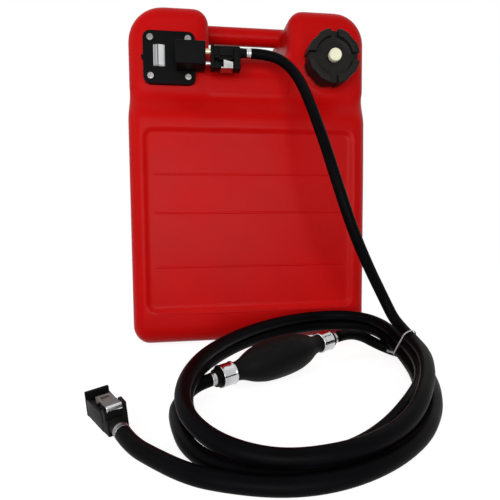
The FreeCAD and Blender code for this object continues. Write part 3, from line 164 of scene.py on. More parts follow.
feedHose = makeHose("feed_hose", tankLead + coilPoints(feedTurns) + bulbInlet)
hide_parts("hose_tank_lead", "hose_coil", "hose_bulb_inlet")
engineHose = makeHose("engine_hose", bulbOutlet + coilPoints(engineTurns) + engineLead)
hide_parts("hose_bulb_outlet", "hose_engine_lead")
print("hoses laid")


# turns about the piece's own X, then Y, then Z, then carries it to its place
def frameAt(place, headingZ=0.0, dipY=0.0, rollX=0.0):
    turn = Matrix.Rotation(math.radians(headingZ), 4, "Z") @ Matrix.Rotation(math.radians(dipY), 4, "Y")
    return Matrix.Translation(place) @ turn @ Matrix.Rotation(math.radians(rollX), 4, "X")


hoseMeets = 74  # how far along its own X the engine's connector takes the hose
feedFrame = frameAt((-58, -113.5, 410.5), rollX=180)
engineTurn = frameAt((0, 0, 0), headingZ=-64.05, dipY=2.2, rollX=5.9)
enginePlace = Vector(engineLead[-1]) - engineTurn @ Vector((hoseMeets, 0, 0))
engineFrame = Matrix.Translation(enginePlace) @ engineTurn
bulbFrame = frameAt((17, -235.7, 23.7), headingZ=27.4, dipY=-4.5)
capFrame = frameAt((115.5, 0, 411), headingZ=-90)  # own X along -Y


# millimetre points to a welded object at the origin, faces outward, in place of a CAD node
def finishMesh(name, points, faces, node, slot, matrix=None, body="tank"):
    data = bpy.data.meshes.new(name)
    data.from_pydata(np.asarray(points, float), [], faces if isinstance(faces, list) else faces.tolist())
    if matrix is not None:
        data.transform(matrix)
    data.transform(Matrix.Scale(mm, 4))
    work = bmesh.new()
    work.from_mesh(data)
    bmesh.ops.remove_doubles(work, verts=work.verts, dist=1e-6)
    bmesh.ops.dissolve_degenerate(work, edges=work.edges, dist=1e-7)
    bmesh.ops.recalc_face_normals(work, faces=work.faces)
    work.to_mesh(data)
    work.free()
    data.polygons.foreach_set("use_smooth", [True] * len(data.polygons))
    piece = addObject(name, data)
    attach(piece, body)
    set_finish(piece, slot)
    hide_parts(node)
    return piece


# quads of a grid whose point number is row * columns + column
def gridFaces(rows, columns, closeRows=False, closeColumns=True):
    r = np.arange(rows if closeRows else rows - 1)
    c = np.arange(columns if closeColumns else columns - 1)
    r, c = np.meshgrid(r, c, indexing="ij")
    r2, c2 = (r + 1) % rows, (c + 1) % columns
    corners = [r * columns + c, r * columns + c2, r2 * columns + c2, r2 * columns + c]
    return np.stack(corners, -1).reshape(-1, 4)


# several closed forms as one set of points and faces
def joinForms(forms):
    starts = np.cumsum([0] + [len(points) for points, faces in forms[:-1]])
    return np.vstack([p for p, f in forms]), np.vstack([f + s for (p, f), s in zip(forms, starts)])


# closes a stack of rings (rows, columns, 3) with a point at each end
def closeStack(rings):
    first, last = (np.repeat(rings[k].mean(0)[None, None], rings.shape[1], 1) for k in (0, -1))
    stack = np.vstack([first, rings, last])
    return stack.reshape(-1, 3), gridFaces(stack.shape[0], stack.shape[1])


# smooth step from 0 at low to 1 at high
def easeStep(value, low, high):
    t = np.clip((value - low) / (high - low), 0, 1)
    return t * t * (3 - 2 * t)


# each corner of a profile becomes a parabola between points at most reach away along its sides
def softProfile(corners, reach, steps=4):
    points = np.array(corners, float)
    before, after = np.vstack([points[:1], points[:-1]]), np.vstack([points[1:], points[-1:]])
    result = []
    for p, a, b in zip(points, before, after):
        la, lb = np.linalg.norm(a - p), np.linalg.norm(b - p)
        if la < 1e-9 or lb < 1e-9:
            result.append(p[None])
            continue
        near = min(reach, 0.45 * la, 0.45 * lb)
        first, last = p + (a - p) / la * near, p + (b - p) / lb * near
        t = np.linspace(0, 1, steps + 1)[:, None]
        result.append((1 - t) ** 2 * first + 2 * t * (1 - t) * p + t ** 2 * last)
    return np.vstack(result)


# a profile of (distance along X, radius) turned about X
def turnedForm(profile, segments=72, soft=0.4):
    line = softProfile(profile, soft)
    angle = np.linspace(0, 2 * math.pi, segments, endpoint=False)
    x = np.repeat(line[:, :1], segments, 1)
    points = np.stack([x, line[:, 1:] * np.cos(angle), line[:, 1:] * np.sin(angle)], -1)
    return points.reshape(-1, 3), gridFaces(len(line), segments)


# points round a rectangle with round corners, for whole arrays of sizes
def roundedRing(halfA, halfB, radius, steps=7):
    angle = np.radians(np.concatenate([np.linspace(q, q + 90, steps) for q in (0, 90, 180, 270)]))
    signA, signB = np.repeat([1, -1, -1, 1], steps), np.repeat([1, 1, -1, -1], steps)
    halfA, halfB, radius = (np.asarray(v, float)[:, None] for v in (halfA, halfB, radius))
    across = (halfA - radius) * signA + radius * np.cos(angle)
    return across, (halfB - radius) * signB + radius * np.sin(angle)


# distances in and along on a quarter round
def quarter(radius, steps=6):
    angle = np.linspace(0, math.pi / 2, steps)
    return radius * (1 - np.sin(angle)), radius * (1 - np.cos(angle))


# a box with all its edges round: rings along X that shrink by a quarter round at both ends; with an end
# given, its section changes evenly to that (low, high) pair of (y, z)
def blockForm(low, high, soft=0.8, end=None):
    low, high = np.array(low, float), np.array(high, float)
    inset, along = quarter(soft, 5)
    x = np.concatenate([low[0] + along, high[0] - along[::-1]])
    shrink = np.concatenate([inset, inset[::-1]])
    share = ((x - low[0]) / (high[0] - low[0]))[:, None]
    endLow, endHigh = (low[1:], high[1:]) if end is None else np.array(end, float)
    lows, highs = low[1:] * (1 - share) + endLow * share, high[1:] * (1 - share) + endHigh * share
    half, middle = (highs - lows) / 2, (highs + lows) / 2
    y, z = roundedRing(half[:, 0] - shrink, half[:, 1] - shrink, np.maximum(soft - shrink, 0) + 0.05)
    rings = np.stack([x[:, None] + 0 * y, y + middle[:, :1], z + middle[:, 1:]], -1)
    return closeStack(rings)


edges = {"flat": 1.5, "sharp": 32, "segments": 2}


# a copy of a CAD piece: faces flatter than one angle are merged and edges sharper than another are rounded;
# where asked, it is narrowed across the Y of its own frame
def softEdges(node, width, slot, body="tank", matrix=None, narrow=1.0):
    data = frame["nodes"][node].data.copy()
    data.name = node + "_soft"
    if matrix is not None:
        place = matrix.copy()
        place.translation *= mm
        data.transform(place @ Matrix.Diagonal((1, narrow, 1, 1)) @ place.inverted())
    work = bmesh.new()
    work.from_mesh(data)
    bmesh.ops.remove_doubles(work, verts=work.verts, dist=2e-6)
    bmesh.ops.dissolve_limit(
        work, angle_limit=math.radians(edges["flat"]), verts=work.verts, edges=work.edges)
    work.to_mesh(data)
    work.free()
    if "custom_normal" in data.attributes:
        data.attributes.remove(data.attributes["custom_normal"])
    data.polygons.foreach_set("use_smooth", [True] * len(data.polygons))
    piece = addObject(node + "_soft", data)
    bevel = piece.modifiers.new("edges", "BEVEL")
    bevel.width = width * mm
    bevel.segments = edges["segments"]
    bevel.limit_method = "ANGLE"
    bevel.angle_limit = math.radians(edges["sharp"])
    bevel.harden_normals = True
    data.materials.clear()
    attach(piece, body)
    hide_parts(node)
    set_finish(piece, slot)


tank = {"halfX": 175.2, "shiftLow": 1.2, "shiftHigh": 2.5, "halfY": 95.0, "corner": 22.0, "foot": 28.0,
        "bandLow": 324.0, "bandHigh": 363.0, "lapDown": 8.0, "lapUp": 20.0,
        "upperX": 174.9, "upperY": 81.5, "topLeft": 486.5, "topRight": 491.5, "leftRound": 51.0,
        "rightRound": 46.0, "innerRound": 22.0, "frontRound": 18.0, "gapLeft": -57.5, "gapRight": 60.0,
        "gapFloor": 422.5, "gapRound": 13.0, "barLow": 462.5, "barHigh": 490.5, "barHalf": 14.5,
        "barRound": 13.5, "barReach": 84.0, "voxel": 2.7, "soften": 0.5, "softenTimes": 4}
plateSeat = {"low": (-152.5, -82.2, 370.5), "high": (-75.5, -70, 447.5), "edge": 1.0}
neckCollar = [(70, 0), (70, 38.5), (84.5, 38.5), (84.5, 30), (108.5, 30), (108.5, 0)]
panel = {"halfX": 155.0, "low": 48.0, "high": 314.0, "slope": 9.0, "drop": 4.0, "corner": 16.0}
pad = {"halfX": 58.0, "low": 362.0, "high": 390.0, "rise": 0.9}
well = {"x": -114, "z": 409, "radius": 23, "deep": 12}
swell = {"broad": 0.3, "fine": 0.15}


# rings from the round foot up through the waist band, which eases from the lower to the upper section
def lowerBody():
    inset, rise = quarter(tank["foot"], 12)
    foot = [(h, tank["halfX"] - i, tank["halfY"] - i, max(tank["corner"] - i, 2))
            for i, h in zip(inset, rise)]
    heights = np.linspace(tank["bandLow"], tank["bandHigh"], 15)
    bandEnds = (tank["bandLow"], tank["bandHigh"])
    share = easeStep(heights, *bandEnds)
    wide = tank["halfX"] + (tank["upperX"] - tank["halfX"]) * share
    deep = tank["halfY"] + (tank["upperY"] - tank["halfY"]) * share
    band = list(zip(heights, wide, deep, tank["corner"] + 0 * share))
    top = [(tank["gapFloor"] - tank["lapUp"], tank["upperX"], tank["upperY"], tank["corner"])]
    height, halfX, halfY, radius = np.array(foot + band + top).T
    x, y = roundedRing(halfX, halfY, radius, 10)
    middle = tank["shiftLow"] + (tank["shiftHigh"] - tank["shiftLow"]) * easeStep(height, *bandEnds)
    rings = np.stack([x + middle[:, None], y, np.repeat(height[:, None], x.shape[1], 1)], -1)
    return closeStack(rings)


# a quarter circle at each corner of an outline whose sides run level or upright
def arcOutline(corners, radii, steps=9):
    points, result = np.array(corners, float), []
    for n, (p, radius) in enumerate(zip(points, radii)):
        a, b = points[n - 1] - p, points[(n + 1) % len(points)] - p
        a, b = a / np.linalg.norm(a), b / np.linalg.norm(b)
        angle = np.linspace(0, math.pi / 2, steps)[:, None]
        result.append(p + (a + b) * radius - radius * (b * np.cos(angle) + a * np.sin(angle)))
    return np.vstack(result)


# the two shoulders and the grip's floor: one outline carried along Y, drawn in at both ends by a quarter
# round
def upperBody():
    size = tank
    inset, along = quarter(size["frontRound"], 9)
    shrink = np.concatenate([inset, inset[::-1]])
    y = np.concatenate([along - size["upperY"], size["upperY"] - along[::-1]])
    low = size["bandHigh"] + size["lapDown"]
    rings = []
    for d, depth in zip(shrink, y):
        leftSide = size["shiftHigh"] - size["upperX"] + d
        rightSide = size["shiftHigh"] + size["upperX"] - d
        leftGap, rightGap = size["gapLeft"] - d, size["gapRight"] + d
        left, right, floor = size["topLeft"] - d, size["topRight"] - d, size["gapFloor"] - d
        outline = arcOutline(
            [(leftSide, low), (leftSide, left), (leftGap, left), (leftGap, floor), (rightGap, floor),
             (rightGap, right), (rightSide, right), (rightSide, low)],
            [0, size["leftRound"] - d, size["innerRound"] - d, size["gapRound"] + d, size["gapRound"] + d,
             size["innerRound"] - d, size["rightRound"] - d, 0])
        rings.append(np.stack([outline[:, 0], depth + 0 * outline[:, 0], outline[:, 1]], -1))
    rings = np.array(rings)
    count = rings.shape[1]
    faces = gridFaces(len(rings), count).tolist()
    faces += [list(range(count)), list(range((len(rings) - 1) * count, len(rings) * count))]
    return rings.reshape(-1, 3), faces


# a round-cornered section carried along X
def gripBar():
    halfZ, middle = (tank["barHigh"] - tank["barLow"]) / 2, (tank["barHigh"] + tank["barLow"]) / 2
    y, z = roundedRing([tank["barHalf"]], [halfZ], [tank["barRound"]])
    x = np.array([-tank["barReach"], tank["barReach"]])[:, None] + 0 * y
    return closeStack(np.stack([x, np.repeat(y, 2, 0), np.repeat(z, 2, 0) + middle], -1))


# closed forms merged into one skin by a voxel remesh, then smoothed
def makeTank():
    seat = blockForm(plateSeat["low"], plateSeat["high"], plateSeat["edge"])
    points, faces = turnedForm(neckCollar, 96)
    points = points @ np.array(capFrame.to_3x3()).T + np.array(capFrame.translation)
    points, faces = joinForms([lowerBody(), gripBar(), seat, (points, faces)])
    upperPoints, upperFaces = upperBody()
    faces = faces.tolist() + [[n + len(points) for n in face] for face in upperFaces]
    body = finishMesh("tank_body", np.vstack([points, upperPoints]), faces, "tank_shell", "red_plastic")
    merge = body.modifiers.new("merge", "REMESH")
    merge.mode = "VOXEL"
    merge.voxel_size = tank["voxel"] * mm
    soften = body.modifiers.new("soften", "SMOOTH")
    soften.factor = tank["soften"]
    soften.iterations = tank["softenTimes"]
    bpy.context.view_layer.update()
    merged = body.evaluated_get(bpy.context.evaluated_depsgraph_get())
    skin = bpy.data.meshes.new_from_object(merged)
    body.modifiers.clear()
    body.data = skin
    skin.name = "tank_body"
    pressTank(skin)
    skin.polygons.foreach_set("use_smooth", [True] * len(skin.polygons))
    return body


# moves the wall along Y: inward by a smooth step of the distance inside a round-cornered panel, outward by
# one inside the pad, and by slow sines for a moulded wall's swell; the well sinks behind the plate
def pressTank(skin):
    flat = np.zeros(len(skin.vertices) * 3)
    skin.vertices.foreach_get("co", flat)
    p = flat.reshape(-1, 3) / mm
    x, y, z = p.T.copy()
    middle, half = (panel["high"] + panel["low"]) / 2, (panel["high"] - panel["low"]) / 2
    c = panel["corner"]
    dx, dz = np.abs(x) - (panel["halfX"] - c), np.abs(z - middle) - (half - c)
    inside = c - (np.hypot(np.maximum(dx, 0), np.maximum(dz, 0)) + np.minimum(np.maximum(dx, dz), 0))
    press = panel["drop"] * easeStep(inside, 0, panel["slope"]) * easeStep(np.abs(y), 84, 92)
    edge = np.minimum(pad["halfX"] - np.abs(x), np.minimum(z - pad["low"], pad["high"] - z))
    raised = pad["rise"] * easeStep(edge, -2.0, 1.2) * easeStep(-y, 74, 79)
    wave = swell["broad"] * np.sin(x / 41 + 0.6) * np.sin(z / 57 + 1.1)
    wave = wave + swell["fine"] * np.sin(x / 19 + z / 23)
    wave = wave * easeStep(np.abs(y), 74, 80) * easeStep(z, 12, 40)
    p[:, 1] = y + np.sign(y) * (raised + wave - press)
    sunk = (np.hypot(x - well["x"], z - well["z"]) < well["radius"]) & (y < -60)
    p[sunk, 1] += well["deep"]
    skin.vertices.foreach_set("co", (p * mm).ravel())
    skin.update()


tankBody = makeTank()
print("tank:", len(tankBody.data.polygons), "faces")

cap = {"radius": 37.5, "bore": 32.0, "front": 121.7, "face": 114.7, "web": 111.7, "skirt": 92.7,
       "rimInner": 27.0, "gap": 10.5, "gapDepth": 2.0, "notch": 12.0, "notchDepth": 1.4, "outerPoints": 19,
       "pullFrom": 34.0, "pullTo": 37.4, "segments": 480}


# a profile of (distance out, distance forward) turned about X; the rim is cut down at four places, and the
# wall drawn in there and midway between, each by a smooth step of the distance across the place
def makeCap():
    size = cap
    front, face, skirt, radius = size["front"], size["face"], size["skirt"], size["radius"]
    rim, bore, web = size["rimInner"], size["bore"], size["web"]
    line = np.array([
        (0, face), (10, face), (18, face), (rim - 1.6, face), (rim - 0.6, face + 0.6), (rim, front - 1.2),
        (rim + 0.8, front - 0.2), (rim + 2, front), (32, front), (radius - 2.4, front),
        (radius - 0.9, front - 0.35), (radius - 0.15, front - 1.4), (radius, front - 3), (radius, 112),
        (radius, 105), (radius, 98), (radius, skirt + 1.5), (radius - 0.4, skirt + 0.4),
        (radius - 1.2, skirt), (bore + 0.8, skirt), (bore, skirt + 0.8), (bore, web), (0, web),
    ], float)
    angle = np.linspace(0, 2 * math.pi, size["segments"], endpoint=False)
    out = line[:, :1] + 0 * angle
    depth = line[:, 1:] + 0 * angle
    outer = (np.arange(len(line)) < size["outerPoints"])[:, None]
    across = np.abs(out * np.sin((angle + math.pi / 4) % (math.pi / 2) - math.pi / 4))
    between = np.abs(out * np.sin(angle % (math.pi / 2) - math.pi / 4))
    gap = 1 - easeStep(across, size["gap"] / 2 - 0.5, size["gap"] / 2 + 0.5)
    notch = 1 - easeStep(between, size["notch"] / 2 - 0.8, size["notch"] / 2 + 0.8)
    depth = depth - np.where(outer, np.maximum(depth - face - 0.2, 0), 0) * gap
    pull = size["gapDepth"] * gap + size["notchDepth"] * notch
    out = out - np.where(outer, pull * easeStep(out, size["pullFrom"], size["pullTo"]), 0)
    points = np.stack([depth, out * np.cos(angle), out * np.sin(angle)], -1)
    finishMesh("cap_body", points.reshape(-1, 3), gridFaces(len(line), size["segments"]), "filler_cap",
               "black_plastic", capFrame, "cap")


makeCap()
knob = {"stem": 3.5, "radius": 9.0, "neck": 8.2, "back": 116.5, "front": 125.5}
finishMesh("vent_knob", *turnedForm([
    (100.5, 0), (100.5, knob["stem"]), (knob["back"], knob["stem"]), (knob["back"], knob["neck"]),
    (117.4, knob["radius"]), (124.2, knob["radius"]), (knob["front"], 8.1), (knob["front"], 7.3),
    (knob["front"] - 0.5, 6.7), (knob["front"] - 0.5, 0),
], soft=0.35), "vent_screw", "ivory_plastic", capFrame, "vent_screw")
print("cap made")

bulb = {"half": 64.0, "end": 7.0, "shift": -10.0, "radius": 23.2, "neck": 10.2, "mould": 0.18,
        "segments": 144}
arrow = {"rise": 0.8, "angle": 62.0, "shaftSide": (1.6, 2.4), "shaftStart": (-17, -16), "shaftEnd": (7, 8),
         "headStart": (6.5, 7.3), "headEnd": (17.5, 18.2), "point": 18, "spread": 0.62}
# (share of the half length from the middle, share of the full belly)
bulbKeys = [(-1, 0), (-0.88, 0.02), (-0.8, 0.15), (-0.62, 0.58), (-0.4, 0.87), (-0.2, 0.97), (0, 1)]


# radius along the axis, read between the keys and evened out: straight necks and one smooth belly; the arrow
# and the mould line add smooth steps of the distance from their own middles
def makeBulb():
    size = bulb
    keys = np.array(bulbKeys)
    share = np.linspace(-1, 1, 97)
    grow = np.interp(-np.abs(share), keys[:, 0], keys[:, 1])
    kernel = np.array([1, 4, 6, 4, 1]) / 16
    for _ in range(6):
        grow = np.convolve(np.pad(grow, 2, "edge"), kernel, "valid")
    tip = size["half"] + size["end"]
    x = np.concatenate([[-tip], share * size["half"], [tip]]) + size["shift"]
    radius = size["neck"] + (size["radius"] - size["neck"]) * np.concatenate([[0], grow, [0]])
    segments = size["segments"]
    angle = np.linspace(0, 2 * math.pi, segments, endpoint=False)
    line, radii = np.repeat(x[:, None], segments, 1), np.repeat(radius[:, None], segments, 1)
    around = (angle + math.radians(arrow["angle"])) % (2 * math.pi) - math.pi
    side, along = np.abs(around * radii), line - size["shift"]
    shaft = (1 - easeStep(side, *arrow["shaftSide"])) * easeStep(along, *arrow["shaftStart"])
    shaft = shaft * (1 - easeStep(along, *arrow["shaftEnd"]))
    head = 1 - easeStep(side - (arrow["point"] - along) * arrow["spread"], -0.4, 0.4)
    head = head * easeStep(along, *arrow["headStart"]) * (1 - easeStep(along, *arrow["headEnd"]))
    mould = size["mould"] * (1 - easeStep(np.abs(np.abs(around) - math.pi / 2) * radii, 0.2, 0.7))
    radii = radii + arrow["rise"] * np.maximum(shaft, head) + mould * (np.abs(along) < size["half"])
    rings = np.stack([line, radii * np.cos(angle), radii * np.sin(angle)], -1)
    return finishMesh("bulb_skin", *closeStack(rings), "bulb", "hose_rubber", bulbFrame)


bulbSkin = makeBulb()

# profiles of (distance from the middle, radius) for the two ends of the bulb
bulbEnds = {
    "ferrule": [(64.2, 10.4), (64, 11.6), (64.6, 12.6), (66, 12.7), (66.8, 12.2), (69, 12.1), (73, 12.15),
                (78, 12.1), (79.6, 12.2), (80.6, 12.6), (81.4, 12.4), (81.5, 10.4), (64.2, 10.4)],
    "tail": [(70, 0), (70, 6.1), (81.3, 6.1), (81.3, 11.2), (83, 11.2), (83.2, 9.5), (84.6, 9.1), (85.2, 9.5),
             (87, 9.5), (87.2, 6), (92.6, 6), (92.6, 3.8), (96, 3.6), (96, 0)],
    "crimp": [(86.3, 6.05), (86.3, 6.9), (86.8, 7.3), (88.2, 7.1), (89.3, 6.9), (90.6, 7.1), (92, 7.3),
              (92.6, 6.9), (92.6, 6.05), (86.3, 6.05)],
}


# the same profile turned at both ends, counted from the middle of the shifted bulb
def bulbPair(name, key, node, slot, segments):
    forms = []
    for side in (-1, 1):
        profile = [(side * x + bulb["shift"], r) for x, r in bulbEnds[key]]
        forms.append(turnedForm(profile, segments, 0.3))
    return finishMesh(name, *joinForms(forms), node, slot, bulbFrame)


ferrules = bulbPair("ferrules", "ferrule", "bulb_ferrules", "stainless", 96)
bulbTails = bulbPair("hose_tails", "tail", "bulb_tails", "black_plastic", 72)
bulbCrimps = bulbPair("hose_crimps", "crimp", "bulb_crimps", "stainless", 72)
print("bulb made")

crimp = {"length": 6.5, "inner": 6.05, "low": 6.6, "high": 7.05}


# a thin ring with two low swells and a waist
def makeCrimp(name, matrix, start, node):
    inner, low, high, end = crimp["inner"], crimp["low"], crimp["high"], start + crimp["length"]
    return finishMesh(name, *turnedForm([
        (start, inner), (start, low), (start + 0.5, high), (start + 2.1, high - 0.15),
        (start + 3.2, low - 0.05), (start + 4.4, high - 0.15), (end - 0.5, high), (end, low), (end, inner),
        (start, inner),
    ], soft=0.25), node, "stainless", matrix)


makeCrimp("feed_crimp_ring", feedFrame, 49.0, "feed_crimp")
engineCrimp = makeCrimp("engine_crimp_ring", engineFrame, 67.0, "engine_crimp")

# each block is (low corner, high corner, edge radius) in the connector's own frame, and where it tapers the
# (y, z) pair of its far end
feedBlocks = {
    "feed_flange": [((0, -7, -6.8), (4.5, 11, 24.8), 0.9)],
    "feed_body": [
        ((4, -7, -6.5), (40, 8, 10.5), 2.0), ((4, -6, 8), (33, 1.5, 20), 0.8),
        ((4, -7, 16), (12.8, 10.4, 24), 0.8), ((11, -7, -1.8), (30.3, 10.6, 7.6), 0.9),
        ((11, -7, 8.9), (29.6, 10.1, 13.0), 0.6), ((31, -7, -2.2), (40.2, 10.8, 24.8), 0.9),
        ((4, -7, -1.5), (8.5, 9.6, 6.5), 0.6),
    ],
}
engineBlocks = {
    "engine_flange": [((0, -11.2, -11), (3.6, 11.2, 13), 0.9)],
    "engine_body": [
        ((3, -11, -10.8), (58, 10.8, -3), 1.0, ((-7.8, -8.2), (8.8, 4))),
        ((3, -11, -10.6), (46, -7, 6.5), 1.0, ((-8.8, -9), (-5.8, 10))),
        ((3, 7, -10.6), (57.5, 10.8, 9), 1.0, ((6.6, -8.2), (10.5, 11))),
        ((44, 6.8, -6), (57, 10.5, 18.3), 1.0), ((12, -8, -8), (52, 8, 7.5), 1.2),
        ((44, -8.2, 2), (54, 8, 12.5), 1.0), ((40, -8, -8.4), (58, 8.6, 6), 1.6),
    ],
}
# (start, radius, end) of the turned neck behind a body
necks = {"feed_body": (39.5, 6.7, 49.3), "engine_body": (57, 6.6, 67.3)}


# boxes with round edges and a turned neck behind them, in one piece
def connectorPiece(node, blocks, matrix):
    forms = [blockForm(*block) for block in blocks]
    if node in necks:
        start, radius, end = necks[node]
        forms.append(turnedForm([
            (start, 0), (start, radius + 0.8), (start + 1.6, radius), (end, radius - 0.5), (end, 0)]))
    return finishMesh(node + "_shape", *joinForms(forms), node, "black_moulding", matrix)


for node, blocks in feedBlocks.items():
    connectorPiece(node, blocks, feedFrame)
engineShapes = [connectorPiece(node, blocks, engineFrame) for node, blocks in engineBlocks.items()]

latch = {"length": 33.6, "start": 22.1, "half": 6.6, "top": 14.4, "drop": -4.1, "sheet": 1.1, "lip": 4.6,
         "pressStart": 28.0, "pressEnd": 44.0, "pressHalf": 3.4, "pressDeep": 0.9, "pressRound": 4.0,
         "rows": 90, "columns": 41, "lipRows": 5}
latchEar = [(22.3, 13.2), (26.2, 13.6), (33.7, 14.4), (28.2, 6.6), (25.1, 6.2), (22.5, 8.6)]


# a bent sheet: height falls slowly along X, turns down at the lip, and dips in a pressed D
def makeEngineLatch():
    size = latch
    rows, lipRows = size["rows"], size["lipRows"]
    u, v = np.meshgrid(np.linspace(0, 1, rows), np.linspace(-1, 1, size["columns"]), indexing="ij")
    x = size["start"] + size["length"] * u
    y = size["half"] * v
    z = size["top"] - size["drop"] * u
    long = (size["pressEnd"] - size["pressStart"]) / 2
    centre = (size["pressEnd"] + size["pressStart"]) / 2
    shape = np.maximum(np.abs(y) - size["pressHalf"], -(x - centre) - long)
    roundEnd = np.maximum(x - centre - long + size["pressRound"], 0)
    shape = np.maximum(shape, np.hypot(roundEnd, y) - size["pressHalf"])
    z = z - size["pressDeep"] * (1 - easeStep(shape, -0.6, 0.5))
    lipX = np.full(size["columns"], size["start"] + size["length"] + 0.7)
    lip = [np.stack([lipX + 0.2 * n, y[0], z[-1] - 0.5 - size["lip"] * n / (lipRows - 1)], -1)
           for n in range(lipRows)]
    top = np.vstack([np.stack([x, y, z], -1), np.array(lip)])
    normal = np.zeros_like(top)
    normal[:rows, :, 2] = -1
    normal[rows:, :, 0] = -1
    under = top + normal * size["sheet"]
    ring = np.concatenate([top, under[:, ::-1]], 1)
    forms = [closeStack(ring)]
    for side in (-1, 1):  # triangular side ears
        outline = np.array(latchEar)
        line = softProfile(np.vstack([outline, outline[:1]]), 1.0)
        across = side * np.array([size["half"], size["half"] - size["sheet"]])[:, None] + 0 * line[:, 0]
        rings = np.stack([np.repeat(line[None, :, 0], 2, 0), across, np.repeat(line[None, :, 1], 2, 0)], -1)
        forms.append(closeStack(rings))
    return finishMesh("engine_latch_plate", *joinForms(forms), "engine_latch", "stainless", engineFrame,
                      "engine_latch")


engineLatch = makeEngineLatch()
softEdges("feed_latch", 0.3, "stainless", "feed_latch", feedFrame, 0.86)
# edge width and slot
softened = {
    "gauge_plate": (0.6, "black_plastic"), "plate_screws": (0.25, "stainless"),
    "outlet_block": (0.6, "black_moulding"), "outlet_nipple": (0.3, "brass"), "guide_pin": (0.3, "stainless"),
}
for node, (width, slot) in softened.items():
    softEdges(node, width, slot)
print("connectors made")

window = {"x": -128.0, "z": 411.0, "halfX": 7.9, "halfZ": 14.6, "back": 86.0, "front": 91.6, "bow": 1.9,
          "edge": 0.7, "insetX": 0.4, "insetZ": 0.5, "lap": 0.3}


# a round-edged block with a thin shell in front of it that bows out by a parabola between the long sides
def makeWindow():
    size = window
    points, faces = blockForm((-size["halfX"], -size["front"], -size["halfZ"]),
                              (size["halfX"], -size["back"], size["halfZ"]), size["edge"])
    x = np.linspace(-size["halfX"] + size["insetX"], size["halfX"] - size["insetX"], 33)[:, None]
    z = np.linspace(-size["halfZ"] + size["insetZ"], size["halfZ"] - size["insetZ"], 9)
    bow = -size["front"] - size["bow"] * (1 - (x / size["halfX"]) ** 2) + 0 * z
    lens = np.stack([x + 0 * z, bow, z + 0 * x], -1)
    back = lens.copy()
    back[..., 1] = -size["front"] + size["lap"]
    shell = np.concatenate([lens, back[:, ::-1]], 1)
    points, faces = joinForms([(points, faces), closeStack(shell)])
    finishMesh("gauge_window", points, faces, "gauge_lens", "clear_plastic",
               Matrix.Translation((size["x"], 0, size["z"])))


makeWindow()

tie = {"angle": -38.0, "lean": -0.8, "floor": 7.0, "highest": 60.0, "near": 45.0, "width": 2.6, "thick": 0.7,
       "clear": 0.4, "knotAngle": 190.0, "knotLength": 9.0, "knotHalfTurns": 5.2, "endSteps": 40}


# points along a hose's middle line, in millimetres
def hoseLine(hose):
    plain = hose.data.copy()
    plain.bevel_depth = 0
    holder = bpy.data.objects.new("line", plain)
    line = bpy.data.meshes.new_from_object(holder)
    flat = np.zeros(len(line.vertices) * 3)
    line.vertices.foreach_get("co", flat)
    bpy.data.objects.remove(holder)
    return flat.reshape(-1, 3) / mm


